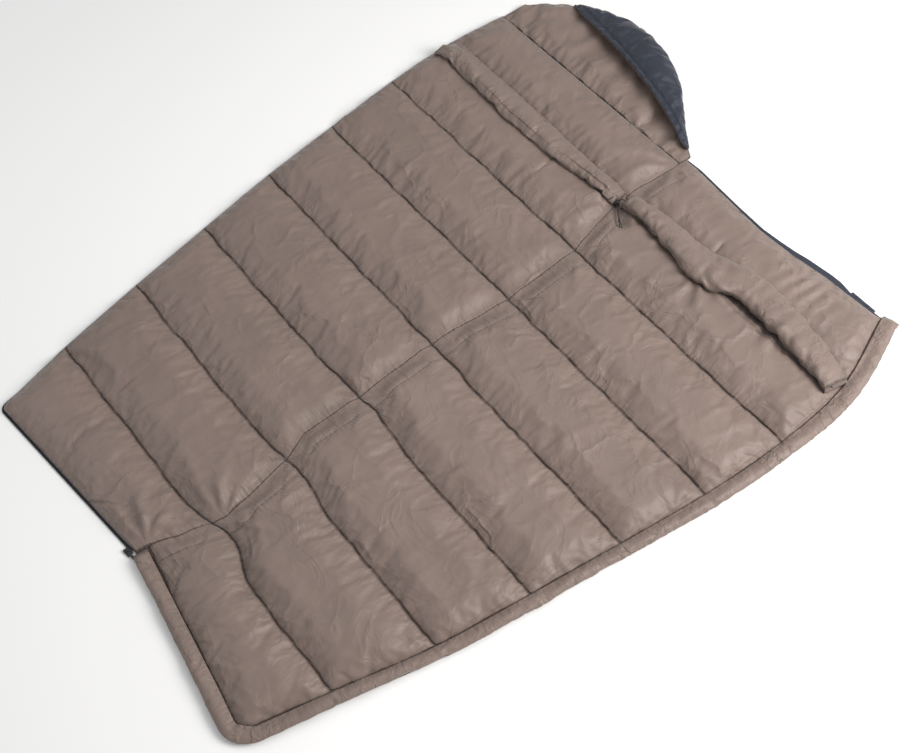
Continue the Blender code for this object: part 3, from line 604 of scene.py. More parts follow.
def seam_effect():
    """What stitching does to cloth: a narrow groove with painted shade in it, its thread, and
    puckers square to it.
    """
    group, given, result = effect(
        "stitched_seam", [("Pucker Reach", FLOAT, 0.021), ("Pitch", FLOAT, 0.011)],
        [("Height", FLOAT), ("Painted Groove Shade", FLOAT), ("Thread", FLOAT)])
    gap, run, calm, spine = (reading(group, name) for name in (
        "stitch_gap", "stitch_run", "stitch_calm", "spine_gap"))
    band = maths(group, "ABSOLUTE", maths(group, "SUBTRACT", spine, BAND))
    gap = maths(group, "MINIMUM", gap, maths(group, "ADD", band, 0.0026))
    fade = maths(group, "POWER", 2.718, maths(group, "MULTIPLY", maths(
        group, "DIVIDE", gap, given.outputs["Pucker Reach"]), -1.0))
    fade = maths(group, "MULTIPLY", fade, maths(group, "SUBTRACT", 1.0, calm))
    # Puckers: noise along the seam, drawn out across it.
    along = place_node(group, "ShaderNodeCombineXYZ", {
        "X": maths(group, "DIVIDE", run, given.outputs["Pitch"]),
        "Y": maths(group, "MULTIPLY", gap, 22.0)})
    fold = noise_of(group, along.outputs["Vector"], 1.0, 1.5, Roughness=0.45)
    ridges = maths(group, "MULTIPLY", maths(group, "SUBTRACT", fold, 0.5), fade)
    groove = ranged(group, gap, 0.0, 0.0052, 1.0, 0.0, "SMOOTHSTEP")
    feed(group, result.inputs["Height"],
         maths(group, "SUBTRACT", ridges, maths(group, "MULTIPLY", groove, 0.45)))
    # The painted shade in the groove is darker in some places than in others.
    spot = place_node(group, "ShaderNodeCombineXYZ", {"X": maths(group, "MULTIPLY", run, 14.0)})
    shade = ranged(group, noise_of(group, spot.outputs["Vector"], 1.0, 2.0), 0.35, 0.65, 0.45, 1.0)
    feed(group, result.inputs["Painted Groove Shade"], maths(group, "MULTIPLY", groove, shade))
    line = ranged(group, gap, 0.0004, 0.0009, 1.0, 0.0)
    wave = maths(group, "SINE", maths(group, "MULTIPLY", run, 2 * pi / STITCH))
    feed(group, result.inputs["Thread"],
         maths(group, "MULTIPLY", line, maths(group, "GREATER_THAN", wave, -0.55)))
    return group


def crease_effect():
    """Creases in light cloth: low rounded swells, and sharper ridges in patches."""
    group, given, result = effect("soft_creases", [("Vector", VECTOR, None), ("Size", FLOAT, 0.06)],
                                  [("Height", FLOAT), ("Mottle", FLOAT)])
    spots = given.outputs["Vector"]
    scale = maths(group, "DIVIDE", 1.0, given.outputs["Size"])
    bend = place_node(group, "ShaderNodeTexNoise", {
        "Vector": spots, "Scale": scale, "Detail": 3.0, "Roughness": 0.55,
        "Distortion": 1.1}).outputs
    ridge = maths(group, "SUBTRACT", 1.0, maths(group, "ABSOLUTE", maths(
        group, "MULTIPLY", maths(group, "SUBTRACT", bend["Fac"], 0.5), 5.0)), clamp=True)
    swells = maths(group, "ADD", maths(group, "MULTIPLY", maths(group, "POWER", ridge, 2.2), 0.35),
                   bend["Fac"])
    shift = place_node(group, "ShaderNodeVectorMath", {0: bend["Color"], 1: (0.05, 0.05, 0.05)},
                       operation="MULTIPLY")
    bent = place_node(group, "ShaderNodeVectorMath", {0: spots, 1: shift.outputs["Vector"]},
                      operation="ADD")
    thin = place_node(group, "ShaderNodeTexVoronoi", {
        "Vector": bent.outputs["Vector"], "Scale": scale}, feature="DISTANCE_TO_EDGE")
    crest = maths(group, "SUBTRACT", 1.0, maths(group, "MULTIPLY", thin.outputs["Distance"], 7.0),
                  clamp=True)
    where = ranged(group, noise_of(group, spots, 7.0, 1.0), 0.46, 0.62, 0.0, 0.95)
    sharp = maths(group, "MULTIPLY", maths(group, "POWER", crest, 1.6), where)
    feed(group, result.inputs["Height"], maths(group, "ADD", sharp, swells))
    feed(group, result.inputs["Mottle"], noise_of(group, spots, 5.5, 4.0, Roughness=0.6))
    return group


WEAVE, SEAM, CREASES = weave_effect(), seam_effect(), crease_effect()


def shader_of(name, colour, roughness, specular=0.5, sheen=0.0):
    """A new material: returns it, its tree, its Principled shader and its object coordinates."""
    look = bpy.data.materials.new(name)
    look.use_nodes = True
    tree = look.node_tree
    shader = tree.nodes["Principled BSDF"]
    for socket, value in (("Base Color", (*colour, 1)), ("Roughness", roughness), ("Metallic", 0.0),
                          ("Specular IOR Level", specular), ("Sheen Weight", sheen),
                          ("Sheen Roughness", 0.4)):
        shader.inputs[socket].default_value = value
    return look, tree, shader, tree.nodes.new("ShaderNodeTexCoord").outputs["Object"]


def mixed(tree, factor, first, second):
    """Mix two colours; each may be a socket or three numbers."""
    made = place_node(tree, "ShaderNodeMix", {0: factor}, data_type="RGBA")
    for socket, colour in ((made.inputs[6], first), (made.inputs[7], second)):
        feed(tree, socket, (*colour, 1) if isinstance(colour, tuple) else colour)
    return made.outputs[2]


def cloth_look(name, colours, roughness, crease, pucker, crease_size):
    """Woven cloth with creases and puckered seams; colours are its pale and deep tints and its
    thread's dark, which also serves as painted shade in the seams' grooves.
    """
    pale, deep, thread_and_groove_shade = colours
    look, tree, shader, spots = shader_of(name, pale, roughness, specular=0.40, sheen=0.2)
    creased = place_node(tree, "ShaderNodeGroup", {"Vector": spots, "Size": crease_size},
                         node_tree=CREASES).outputs
    woven = place_node(tree, "ShaderNodeGroup", {"Vector": spots}, node_tree=WEAVE).outputs
    seamed = place_node(tree, "ShaderNodeGroup", node_tree=SEAM).outputs
    base = mixed(tree, ranged(tree, creased["Mottle"], 0.3, 0.7), pale, deep)
    # Painted shade in the seams' grooves, towards the thread's dark.
    base = mixed(tree, maths(tree, "MULTIPLY", seamed["Painted Groove Shade"], 0.82), base, thread_and_groove_shade)
    base = mixed(tree, maths(tree, "MULTIPLY", seamed["Thread"], 0.8), base, thread_and_groove_shade)
    # Painted shade on the weave's threads, towards the deep tint.
    base = mixed(tree, maths(tree, "MULTIPLY", woven["Painted Thread Shade"], 0.10), base, deep)
    fine = bump(tree, woven["Height"], 0.00006)
    soft = bump(tree, creased["Height"], crease, fine)
    feed(tree, shader.inputs["Base Color"], base)
    feed(tree, shader.inputs["Roughness"],
         ranged(tree, creased["Height"], 0.3, 0.9, roughness - 0.05, roughness + 0.07))
    feed(tree, shader.inputs["Normal"], bump(tree, seamed["Height"], pucker, soft))
    return look


# Pale and deep tints of each cloth, then the thread's dark, which is also the painted shade in the
# seams' grooves.
BROWNS = (0.208, 0.154, 0.132), (0.172, 0.128, 0.109), (0.034, 0.019, 0.016)
NAVIES = (0.024, 0.029, 0.045), (0.018, 0.022, 0.035), (0.008, 0.010, 0.016)

LINING = cloth_look("satin_lining", BROWNS, 0.49, 0.0023, 0.0074, 0.10)
TUBE_CLOTH = cloth_look("satin_tube", BROWNS, 0.50, 0.0018, 0.0060, 0.035)
HOOD_CLOTH = cloth_look("navy_hood", NAVIES, 0.52, 0.0008, 0.0018, 0.09)
SHELL = cloth_look("navy_shell", NAVIES, 0.48, 0.0007, 0.0036, 0.09)


def moulded_look():
    """Moulded black plastic with a fine spark-eroded grain."""
    look, tree, shader, spots = shader_of("moulded_black", (0.016, 0.017, 0.020), 0.42)
    wear = noise_of(tree, spots, 160.0, 3.0)
    feed(tree, shader.inputs["Roughness"], ranged(tree, wear, 0.0, 1.0, 0.34, 0.52))
    feed(tree, shader.inputs["Normal"], bump(tree, noise_of(tree, spots, 2600.0, 2.0), 0.00003))
    return look


def lacquer_look():
    """Black lacquer on a die-cast slider, rubbed a little on its faces."""
    lacquer, bare = (0.020, 0.020, 0.022), (0.11, 0.11, 0.115)
    look, tree, shader, spots = shader_of("black_lacquer", lacquer, 0.30)
    rubbed = noise_of(tree, spots, 420.0, 5.0, Roughness=0.7)
    feed(tree, shader.inputs["Base Color"],
         mixed(tree, ranged(tree, rubbed, 0.62, 0.72), lacquer, bare))
    feed(tree, shader.inputs["Roughness"], ranged(tree, rubbed, 0.0, 1.0, 0.24, 0.42))
    feed(tree, shader.inputs["Normal"], bump(tree, rubbed, 0.00005))
    return look


def braid_look():
    """Braided cord: two sets of strands that cross along and round it."""
    look, tree, shader, spots = shader_of("braided_cord", (0.012, 0.012, 0.014), 0.75, sheen=0.3)
    lay = maths(tree, "MULTIPLY", reading(tree, "cord_run"), 2 * pi / BRAID_LAY)
    ring = maths(tree, "MULTIPLY", reading(tree, "cord_turn"), 4.0)
    strands = maths(tree, "MULTIPLY", maths(tree, "SINE", maths(tree, "ADD", lay, ring)),
                    maths(tree, "SINE", maths(tree, "SUBTRACT", lay, ring)))
    feed(tree, shader.inputs["Base Color"], mixed(
        tree, maths(tree, "ABSOLUTE", strands), (0.008, 0.008, 0.010), (0.028, 0.028, 0.032)))
    feed(tree, shader.inputs["Normal"], bump(tree, strands, 0.0002))
    return look


def tape_look():
    """Zip tape: a fine herringbone."""
    look, tree, shader, spots = shader_of("zip_tape_cloth", (0.014, 0.014, 0.017), 0.8, sheen=0.2)
    rib = place_node(tree, "ShaderNodeTexWave", {
        "Vector": spots, "Scale": 330.0, "Distortion": 0.4},
        wave_type="BANDS", bands_direction="DIAGONAL").outputs["Fac"]
    feed(tree, shader.inputs["Base Color"],
         mixed(tree, rib, (0.009, 0.009, 0.012), (0.024, 0.024, 0.029)))
    feed(tree, shader.inputs["Normal"], bump(tree, rib, 0.0001))
    return look


MOULDED, LACQUER, BRAID, TAPE = moulded_look(), lacquer_look(), braid_look(), tape_look()


# ---- tubes of cloth ----
def spaced(points, step):
    """The same line with evenly spaced points."""
    points = np.asarray(points, float)
    run = np.append(0, np.cumsum(np.linalg.norm(np.diff(points, axis=0), axis=1)))
    even = np.linspace(0, run[-1], max(2, round(run[-1] / step) + 1))
    placed = [np.interp(even, run, points[:, axis]) for axis in range(points.shape[1])]
    return np.stack(placed, 1), even


def beside(line):
    """Unit vectors in plan, to the left of a line's direction."""
    way = np.gradient(line[:, :2], axis=0)
    way /= np.linalg.norm(way, axis=1, keepdims=True)
    return np.stack([-way[:, 1], way[:, 0]], 1)


def ground(*things):
    """Heights of these pieces' tops below any plan point."""
    trees = [BVHTree.FromObject(thing, bpy.context.evaluated_depsgraph_get()) for thing in things]

    def height(x, y):
        hits = [tree.ray_cast(Vector((x, y, 1.0)), Vector((0, 0, -1)))[0] for tree in trees]
        return max([hit.z for hit in hits if hit] or [SKIN])
    return height


def soft_tube(name, line, run, widths, heights, ends, around, below, channel=None):
    """A stuffed tube of cloth that lies on what is below it. Its stitched edge is on the left
    of the line; ends is the length over which each end is pressed flat."""
    turns = np.linspace(0, 2 * pi, around + 1)
    left = beside(line)
    to_end = np.minimum(run, run[-1] - run)
    taper = np.sqrt(np.clip(to_end / ends, 0.02, 1))
    lateral = np.cos(turns)[None, :] * widths[:, None] / 2
    plan = line[:, None, :2] + left[:, None, :] * lateral[..., None]
    sewn = 0.55 * ((1 + np.cos(turns)) / 2) ** 3
    thickness = TUBE_THIN + (heights * taper)[:, None] * (1 - sewn)[None, :]
    upper = 0.5 * (1 + np.sign(np.sin(turns)) * np.abs(np.sin(turns)) ** 0.85)
    base = np.array([below(x, y) for x, y in plan.reshape(-1, 2)]).reshape(plan.shape[:2])
    base = np.maximum(base, 0.5 * (base + base.mean(1, keepdims=True)))
    z = base + TUBE_CLEAR + thickness * upper[None, :]
    places = np.concatenate([plan, z[..., None]], -1)
    places[:, -1] = places[:, 0]
    thing = cloth_grid(name, places, TUBE_CLOTH)
    held = np.repeat((np.cos(turns) > 0.93)[None, :], len(run), 0)
    held[[0, -1]] = True
    mark(thing, "held", held)
    gap = np.abs(turns - np.where(turns > pi, 2 * pi, 0))[None, :] * widths[:, None] / 2.4
    if channel:
        across = np.abs((lateral + widths[:, None] / 2) - channel)
        gap = np.minimum(gap, np.where(np.sin(turns)[None, :] > -0.3, across, 1.0))
    gap = np.minimum(gap, np.abs(to_end[:, None] - 0.006))
    mark_seams(thing, gap, np.repeat(run[:, None], around + 1, 1))
    close_tube(thing, 0.00002)
    return thing


def settle(thing, below, clear=0.0008):
    """Lift a piece's points that sank into what is below it."""
    places = coordinates(thing)
    floor = np.array([below(x, y) for x, y in places[:, :2]]) + clear
    places[:, 2] = np.maximum(places[:, 2], floor)
    move_to(thing, places)


# ---- the quilt's two halves ----
back_lining = quilted_lining(BACK, LINING)
front_lining = quilted_lining(FRONT, LINING)
back_shell = shell_sheet(BACK, SHELL)
front_shell = shell_sheet(FRONT, SHELL)
on_back, on_front = ground(back_lining), ground(front_lining)


def edge_line(half, inset, first=0.0, step=0.02):
    """A half's hem from the lengthwise seam round the corner to the neck, moved in by inset."""
    foot = half.place(0.0, np.linspace(0, 1, 60))
    side = half.place(np.linspace(0, BAYS, 400), 1.0)
    points = np.stack([np.append(foot[0], side[0][1:]),
                       FOLD.y + half.side * np.append(foot[1], side[1][1:])], 1)
    line, run = spaced(points, step)
    line = line - half.side * beside(line) * inset
    line, run = spaced(line, step)
    keep = run >= first
    return line[keep], run[keep]


# ---- draft collars and draft tube ----
# Plan distances along each collar from the lengthwise seam, with its head side and its foot
# side measured from the collars' seam.
BACK_COLLAR = ((0.010, 0.004, -0.052), (0.040, 0.006, -0.066), (0.070, 0.006, -0.073),
               (0.144, 0.004, -0.080), (0.250, 0.006, -0.090), (0.360, 0.010, -0.098),
               (0.450, 0.012, -0.097), (0.520, 0.013, -0.093), (0.650, 0.014, -0.085),
               (0.792, 0.014, -0.074))
FRONT_COLLAR = ((0.006, 0.010, -0.050), (0.040, 0.016, -0.054), (0.100, 0.026, -0.056),
                (0.180, 0.030, -0.066), (0.240, 0.030, -0.080), (0.300, 0.036, -0.090),
                (0.350, 0.050, -0.082), (0.410, 0.064, -0.046), (0.470, 0.066, -0.042),
                (0.590, 0.056, -0.052), (0.690, 0.040, -0.060), (0.785, 0.016, -0.066))


def collar_tube(half, table, high, channel, seed, slack):
    """One half's draft collar, from its table."""
    table = np.array(table)
    y = np.arange(table[0, 0], table[-1, 0], TUBE_CELL)
    head, foot = (smoothed(np.interp(y, table[:, 0], table[:, k]), 4) for k in (1, 2))
    line = np.stack([COLLAR_SEAM + (head + foot) / 2, FOLD.y + half.side * y], 1)
    if half.side > 0:
        line = line[::-1]
        head, foot = head[::-1], foot[::-1]
    run = np.append(0, np.cumsum(np.linalg.norm(np.diff(line, axis=0), axis=1)))
    swing = 1 + 0.12 * ripple(np.column_stack([line, run * 0]), 0.11, seed)
    below = on_back if half is BACK else on_front
    thing = soft_tube(f"{half.name}_collar", line, run, head - foot, high * swing,
                      COLLAR_END, 30, below, channel)
    swell(thing, readings(thing, "held") > 0.5, 2.6, slack, 0.011, frames=16)
    settle(thing, below)
    return thing


back_collar = collar_tube(BACK, BACK_COLLAR, 0.017, 0.020, 4, 0.045)
front_collar = collar_tube(FRONT, FRONT_COLLAR, 0.034, None, 5, 0.035)

tube_line, tube_run = edge_line(FRONT, TUBE_INSET, first=0.012, step=TUBE_CELL)
steps_past = np.arange(1, TUBE_PAST + 1)[:, None]
past = tube_line[-1] + (tube_line[-1] - tube_line[-2]) * steps_past
tube_line, tube_run = spaced(np.vstack([tube_line, past]), TUBE_CELL)
TUBE_WIDTHS = ((0.0, 0.038), (0.40, 0.040), (0.55, 0.034), (0.90, 0.031), (1.60, 0.036),
               (2.10, 0.041), (2.45, 0.047))
widths = np.interp(tube_run, *np.array(TUBE_WIDTHS).T)
draft_tube = soft_tube("draft_tube", tube_line, tube_run, widths, TUBE_HIGH + 0 * widths,
                       TUBE_END, 22, on_front)
swell(draft_tube, readings(draft_tube, "held") > 0.5, 2.0, 0.02, 0.005, frames=10)
settle(draft_tube, on_front)


# ---- hood ----
def node_outline(node, places, pick):
    """How far a node's plan reaches along x, at the given places across it."""
    edges = edges_of(node)
    return np.array([pick(crossings(edges, 1, y)) for y in places])


def hood_floor_pad():
    low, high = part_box("hood_floor_lining")
    y = np.linspace(low.y + 0.003, high.y - 0.004, 110)
    far = smoothed(node_outline("hood_floor_lining", y, max), 3)
    far = far + HOOD_OUT * np.exp(-((y - high.y + 0.10) / 0.09) ** 2)
    near = np.full_like(far, BACK.lines[-1] - 0.0036)
    share = np.linspace(0, 1, 38)[:, None]
    x = near[None] * (1 - share) + far[None] * share
    yy = np.repeat(y[None], len(share), 0)
    to_base = x - near[None]
    to_edge = np.minimum(np.minimum(far[None] - x, y[None] - y[0]), y[-1] - y[None])
    gap = np.minimum(to_base, to_edge)
    flat = np.stack([x, yy, 0 * x], -1).reshape(-1, 3)
    height = low.z + 0.6 * (high.z - low.z) * (rise(to_base, 0.02) * rise(to_edge, 0.02)).ravel()
    loose = gap.ravel() > 0.003
    height = np.where(to_base.ravel() < 0.001, BACK.seam_z, height)
    height += loose * 0.0015 * ripple(flat * (1, 2.2, 1), 0.05, 6)
    thing = cloth_grid("hood_floor_quilted",
                       np.stack([x, yy, height.reshape(x.shape)], -1), LINING)
    mark_seams(thing, gap, np.where(to_base < to_edge, yy, yy + x))
    mark(thing, "stitch_calm", np.exp(-np.abs(to_base - to_edge) / 0.010))
    swell(thing, ~loose, 1.8, 0.05, 0.012)
    places = coordinates(thing)
    floor = SKIN + GAP + 0 * places[:, 0]
    spokes = np.arctan2(flat[:, 1] - y.mean(), low.x + 0.45 - flat[:, 0])
    waves = np.sin(26 * spokes + 3.0 * ripple(flat, 0.12, 14)) + 0.6 * ripple(flat, 0.035, 15)
    places[:, 2] += (0.0042 * rise(gap, 0.02).ravel() * waves)
    places[:, 2] = np.maximum(places[:, 2], floor + 0.0008)
    move_to(thing, places)
    close_under(thing, floor)
    sheet = cloth_grid("hood_floor_shell_cloth",
                       np.stack([x, yy, 0 * x + SKIN], -1), SHELL)
    mark_seams(sheet, gap, yy)
    close_under(sheet, 0 * floor)
    return thing, sheet


def wall_pad():
    """The hood's folded-down wall: navy shell above, lining below, wadding between."""
    low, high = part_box("hood_wall_lining")
    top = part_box("hood_wall_shell")[1].z
    y = np.linspace(low.y + 0.004, high.y - 0.004, 120)
    far = smoothed(node_outline("hood_wall_lining", y, max), 3)
    near = smoothed(node_outline("hood_wall_lining", y, min), 3)
    share = np.linspace(0, 1, 34)[:, None]
    x = far[None] * (1 - share) + near[None] * share
    yy = np.repeat(y[None], len(share), 0)
    arc = np.sin(np.linspace(0, pi, len(y)))[None]
    to_edge = np.minimum(far[None] - x, np.minimum(y - y[0], y[-1] - y)[None])
    to_rim = x - near[None]
    under = (low.z + 0.0165 * rise(to_edge, 0.012) + 0.031 * share * arc ** 0.7)
    x = x + HOOD_OUT * arc ** 0.6 * (1 - share) ** 2
    pad = 0.005 + 0.024 * arc ** 0.5 * np.sin(np.clip(share * 1.12, 0, 1) ** 0.8 * pi) ** 0.7
    pad = np.maximum(pad, 0.009 * arc ** 0.4 * (share > 0.6))
    channel = np.exp(-((to_rim - HOOD_CHANNEL) / 0.0045) ** 2)
    upper = under + pad - 0.0035 * channel * arc
    flat = np.stack([x, yy, upper], -1).reshape(-1, 3)
    held = (np.minimum(to_edge, to_rim) < 0.003) | (np.abs(to_rim - HOOD_CHANNEL) < 0.0022)
    upper = upper.ravel() + ~held.ravel() * 0.0016 * ripple(flat * (1.8, 1, 1), 0.03, 8)
    thing = cloth_grid("hood_wall", np.stack([x, yy, upper.reshape(x.shape)], -1),
                       HOOD_CLOTH, TUBE_CLOTH)
    mark_seams(thing, np.minimum(np.minimum(to_edge, to_rim), np.abs(to_rim - HOOD_CHANNEL)),
               yy + 0.6 * x)
    swell(thing, held.ravel(), 2.0, 0.04, 0.007)
    places = coordinates(thing)
    floor = under.ravel()
    places[:, 2] = np.clip(places[:, 2], floor + 0.002, top + 0.006)
    move_to(thing, places)
    close_under(thing, floor)
    mesh = thing.data
    for face in mesh.polygons:
        face.material_index = int(face.normal.z < 0.15 and face.normal.x < 0.5)
    return thing


hood_floor, hood_shell = hood_floor_pad()
hood_wall = wall_pad()
settle(hood_wall, ground(hood_floor), clear=0.0006)


# ---- cords, knot and lock ----
PAIR = CORD_D + GAP
BACK_ROUTE = ((-0.0620, 0.0242, 0.0410), (-0.0550, 0.0232, 0.0420), (-0.0440, 0.0228, 0.0410),
              (-0.0365, 0.0215, 0.0375), (-0.0360, 0.0180, 0.0330))
FRONT_ROUTE = ((-0.0475, -0.0235, 0.0450), (-0.0400, -0.0225, 0.0455), (-0.0315, -0.0180, 0.0440),
               (-0.0275, -0.0070, 0.0390), (-0.0290, 0.0040, 0.0335), (-0.0340, 0.0090, 0.0310))


def rounded_route(points, count):
    """Evenly placed points on a smooth curve through a cord's own points."""
    points = np.array([tuple(p) for p in points])
    padded_points = np.vstack([2 * points[0] - points[1], points, 2 * points[-1] - points[-2]])
    found = []
    for place in np.linspace(0, len(points) - 1, 12 * len(points)):
        k = min(int(place), len(points) - 2)
        t = place - k
        a, b, c, d = padded_points[k:k + 4]
        found.append(b + 0.5 * t * (c - a + t * (2 * a - 5 * b + 4 * c - d
                                                 + t * (3 * (b - c) + d - a))))
    found, run = spaced(found, 0.001)
    even = np.linspace(0, run[-1], count)
    return np.stack([np.interp(even, run, found[:, axis]) for axis in range(3)], 1)


def cord_tube(name, route, sides=12):
    """A round cord along a route, with its run and turn marked for its braid."""
    route, run = spaced(route, 0.0009)
    way = np.gradient(route, axis=0)
    way /= np.linalg.norm(way, axis=1, keepdims=True)
    side = np.cross(way, (0, 0, 1.0))
    side /= np.linalg.norm(side, axis=1, keepdims=True)
    up = np.cross(side, way)
    turns = np.linspace(0, 2 * pi, sides + 1)
    places = (route[:, None] + CORD_D / 2 * (side[:, None] * np.cos(turns)[None, :, None]
                                             + up[:, None] * np.sin(turns)[None, :, None]))
    places[:, -1] = places[:, 0]
    thing = cloth_grid(name, places, BRAID)
    mark(thing, "cord_run", np.repeat(run[:, None], sides + 1, 1))
    mark(thing, "cord_turn", np.repeat(turns[None], len(run), 0))
    close_tube(thing, 0.000005)
    return thing, route, run[-1]


def strand(name, route, side):
    aside = ACROSS_WAY * side * PAIR / 2
    mouth = [LOCK + PULL_WAY * along + aside
             for along in (-0.0105, -0.0065, 0.0, 0.010, 0.020, 0.030, 0.040)]
    end = KNOT - PULL_WAY * (KNOT_R + GAP) + aside
    thing, line, long = cord_tube(f"{name}_braid", rounded_route(world(route) + mouth + [end], 44))
    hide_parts(name)
    return thing, line, long


def knot_piece():
    """An overhand knot pulled tight over both cords, with their two tails."""
    turn = np.linspace(0, 2 * pi, 60)
    along, across, up = np.array(PULL_WAY), np.array(ACROSS_WAY), np.array((0, 0, 1.0))
    loop = np.array(KNOT) + (along * (0.0016 * np.sin(2 * turn))[:, None]
                             + across * (0.0030 * np.cos(turn))[:, None]
                             + up * (0.0030 * np.sin(turn))[:, None])
    pieces = [cord_tube("knot_loop", loop)[0]]
    for side in (-1, 1):
        aside = ACROSS_WAY * side * PAIR / 2
        middle = KNOT + PULL_WAY * (KNOT_R + TAIL * 0.5) + aside * (1.6 + side * 0.6)
        end = KNOT + PULL_WAY * (KNOT_R + TAIL) + aside * (2.6 + side) - Vector((0, 0, 0.0015))
        start = KNOT + aside * 0.7
        route = rounded_route([start - PULL_WAY * 0.003, start + PULL_WAY * 0.002, middle, end], 40)
        pieces.append(cord_tube(f"knot_tail_{side}", route)[0])
    with bpy.context.temp_override(active_object=pieces[0], selected_editable_objects=pieces):
        bpy.ops.object.join()
    pieces[0].name = "cord_knot_tied"
    return pieces[0]


back_strand, back_path, back_long = strand("back_strand", BACK_ROUTE, -1)
front_strand, front_path, front_long = strand("front_strand", FRONT_ROUTE, 1)
knot = knot_piece()


# ---- zip ----
def zip_parts(half, first, tucked_from):
    """A half's zip tape and its coil, along its hem; beyond tucked_from the hem hides them."""
    line, run = edge_line(half, 0.0, first=first, step=0.006)
    left = beside(line) * half.side
    tucked = np.clip((run - tucked_from) / 0.05, 0, 1)[:, None] * TUCK
    line = line - left * tucked
    high = np.full((len(line), 1), TAPE_TOP)
    sides = line + left * TAPE_OUT, line + left * TAPE_IN
    places = np.stack([np.hstack([side, high]) for side in (sides[0], sum(sides) / 2, sides[1])], 1)
    tape = cloth_grid(f"{half.name}_zip_tape_cloth", places, TAPE)
    close_under(tape, np.full(places.shape[0] * 3, TAPE_LOW))
    teeth_line, run = spaced(line + left * TEETH_OUT, TOOTH_PITCH)
    bm = bmesh.new()
    for (x, y), (way_x, way_y) in zip(teeth_line, beside(teeth_line)):
        turn = Matrix(((way_y, way_x, 0, x), (-way_x, way_y, 0, y),
                       (0, 0, 1, TOOTH[2] / 2 + 0.0014), (0, 0, 0, 1)))
        bmesh.ops.create_cube(bm, size=1, matrix=turn @ Matrix.Diagonal((*TOOTH, 1)))
    teeth = piece(f"{half.name}_zip_teeth", bm, MOULDED)
    bevel = teeth.modifiers.new("rounded", "BEVEL")
    bevel.width, bevel.segments = 0.0003, 1
    return tape, teeth


back_tape, back_teeth = zip_parts(BACK, 0.0045, 0.56)
front_tape, front_teeth = zip_parts(FRONT, 0.020, 0.0)


# ---- neck tab and hardware ----
def neck_tab_piece():
    """A folded tab of shell cloth, a little domed, with its edges turned in."""
    low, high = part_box("neck_tab")
    bm = bmesh.new()
    bmesh.ops.create_cube(bm, size=1)
    bmesh.ops.scale(bm, vec=high - low, verts=bm.verts)
    bmesh.ops.translate(bm, vec=(high + low) / 2, verts=bm.verts)
    long = [edge for edge in bm.edges if edge.calc_length() > 0.02]
    bmesh.ops.subdivide_edges(bm, edges=long, cuts=15)
    short = [edge for edge in bm.edges if 0.01 < edge.calc_length() < 0.02]
    bmesh.ops.subdivide_edges(bm, edges=short, cuts=4, use_grid_fill=True)
    for vert in bm.verts:
        if vert.co.z > (low.z + high.z) / 2:
            vert.co.z += 0.0012 * noise.noise(vert.co / 0.012)
    made = piece("neck_tab_folded", bm, SHELL)
    bevel = made.modifiers.new("turned_edge", "BEVEL")
    bevel.width, bevel.segments, bevel.limit_method = 0.0006, 2, "ANGLE"
    mark_seams(made, [abs(v.co.x - low.x - TAB_STITCH) for v in made.data.vertices],
               [v.co.y for v in made.data.vertices])
    return made


tab = neck_tab_piece()


def rounded_edges(node, look, width):
    """Give a hard node its finish and a small radius on its edges."""
    thing = frame["nodes"][node]
    thing.data.materials.clear()
    thing.data.materials.append(look)
    weld = thing.modifiers.new("joined", "WELD")
    weld.merge_threshold = 0.00001
    if width:
        bevel = thing.modifiers.new("edges", "BEVEL")
        bevel.width, bevel.segments, bevel.limit_method = width, 3, "ANGLE"
        bevel.angle_limit = radians(35)
        bevel.use_clamp_overlap = True


for node, look, width in (
        ("cord_lock_body", MOULDED, 0.0008), ("cord_lock_button", MOULDED, 0.0006),
        ("cord_lock_spring", LACQUER, 0.0), ("zip_slider", LACQUER, 0.0004),
        ("zip_pull", LACQUER, 0.0003), ("zip_bottom_stop", LACQUER, 0.0003),
        ("back_collar_cord", BRAID, 0.0), ("front_collar_cord", BRAID, 0.0),
        ("hood_drawcord", BRAID, 0.0)):
    rounded_edges(node, look, width)


# ---- hiding the model's parts that each piece replaces, and the body it rides on ----
def quilted_nodes(half):
    return [f"{half}_lining"] + [f"{half}_fill_{k}" for k in range(1, BAYS + 1)]


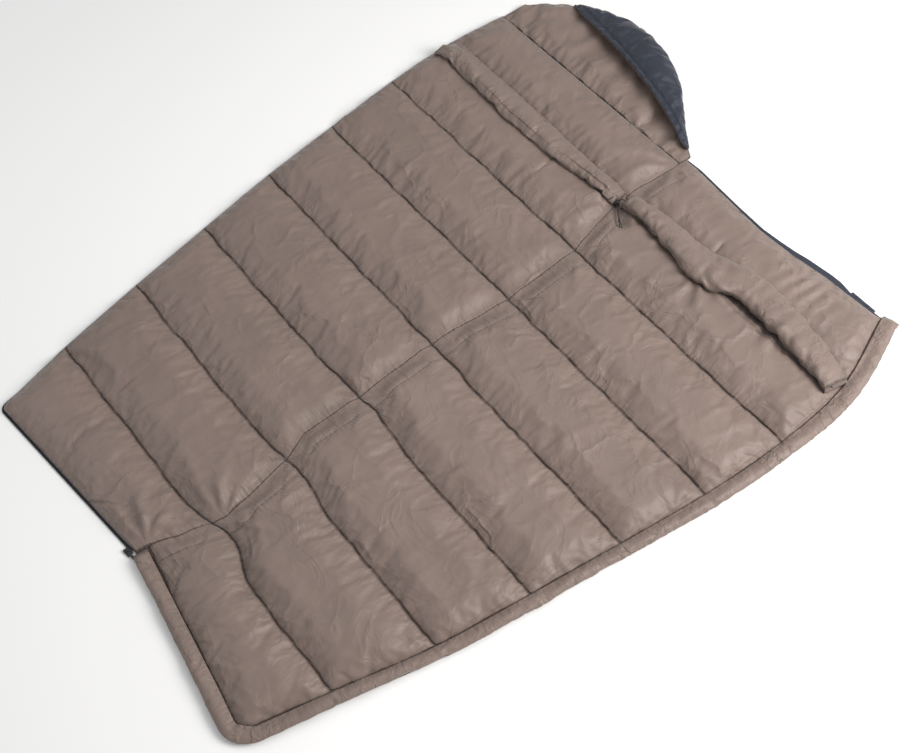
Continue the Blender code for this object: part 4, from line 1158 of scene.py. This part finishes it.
for thing, nodes, finish in (
        (back_lining, quilted_nodes("back"), "lining_cloth"),
        (front_lining, quilted_nodes("front"), "lining_cloth"),
        (back_shell, ["back_shell"], "shell_cloth"),
        (front_shell, ["front_shell"], "shell_cloth"),
        (back_collar, ["back_collar_cover", "back_collar_fill"], "lining_cloth"),
        (front_collar, ["front_collar_cover", "front_collar_fill"], "lining_cloth"),
        (draft_tube, ["draft_tube_cover", "draft_tube_fill"], "lining_cloth"),
        (hood_floor, ["hood_floor_lining", "hood_floor_fill"], "lining_cloth"),
        (hood_shell, ["hood_floor_shell"], "shell_cloth"),
        (hood_wall, ["hood_wall_lining", "hood_wall_fill", "hood_wall_shell"], "shell_cloth"),
        (back_tape, ["back_zip_tape"], "zip_cloth"),
        (front_tape, ["front_zip_tape"], "zip_cloth"),
        (back_teeth, ["back_zip_coil"], "moulded_black"),
        (front_teeth, ["front_zip_coil"], "moulded_black"),
        (tab, ["neck_tab"], "shell_cloth"),
        (knot, ["cord_knot"], "cord_yarn")):
    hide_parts(*nodes)
for thing in (back_lining, front_lining, back_shell, front_shell, draft_tube, front_collar,
              back_collar, back_tape, front_tape, back_teeth, front_teeth):
    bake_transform(thing)
for thing in (hood_floor, hood_shell, hood_wall):
    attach(thing, "back_half")
for thing in (tab, back_strand, front_strand, knot):
    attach(thing, "front_half")


# ---- floor and light ----
def floor_piece():
    bm = bmesh.new()
    bmesh.ops.create_grid(bm, x_segments=1, y_segments=1, size=14)
    bmesh.ops.translate(bm, vec=(0, 0, -0.0004), verts=bm.verts)
    look = shader_of("pale_floor", (0.86, 0.86, 0.86), 0.9, specular=0.1)[0]
    piece("floor", bm, look, smooth=False)


def soft_box(name, place, aim, size, power, tint=(1, 1, 1)):
    data = bpy.data.lights.new(name, "AREA")
    data.shape, data.size, data.energy, data.color = "SQUARE", size, power, tint
    lamp = bpy.data.objects.new(name, data)
    lamp.location = place
    lamp.rotation_euler = (Vector(aim) - Vector(place)).to_track_quat("-Z", "Y").to_euler()
    bpy.context.scene.collection.objects.link(lamp)


floor_piece()
soft_box("head_light", (1.5, -2.2, 2.3), (0.2, -0.3, 0), 1.9, 132, (1.0, 0.985, 0.96))
soft_box("side_light", (-2.2, 2.2, 2.6), (0, 0, 0), 1.8, 16, (0.96, 0.98, 1.0))
soft_box("over_light", (1.0, 0.1, 3.4), (0.3, -0.2, 0), 1.8, 16)
sky = bpy.data.worlds.new("studio")
sky.use_nodes = True
background = sky.node_tree.nodes["Background"].inputs
background["Color"].default_value = (1, 1, 1, 1)
background["Strength"].default_value = 0.50
bpy.context.scene.world = sky
bpy.context.scene.view_settings.view_transform = "Standard"
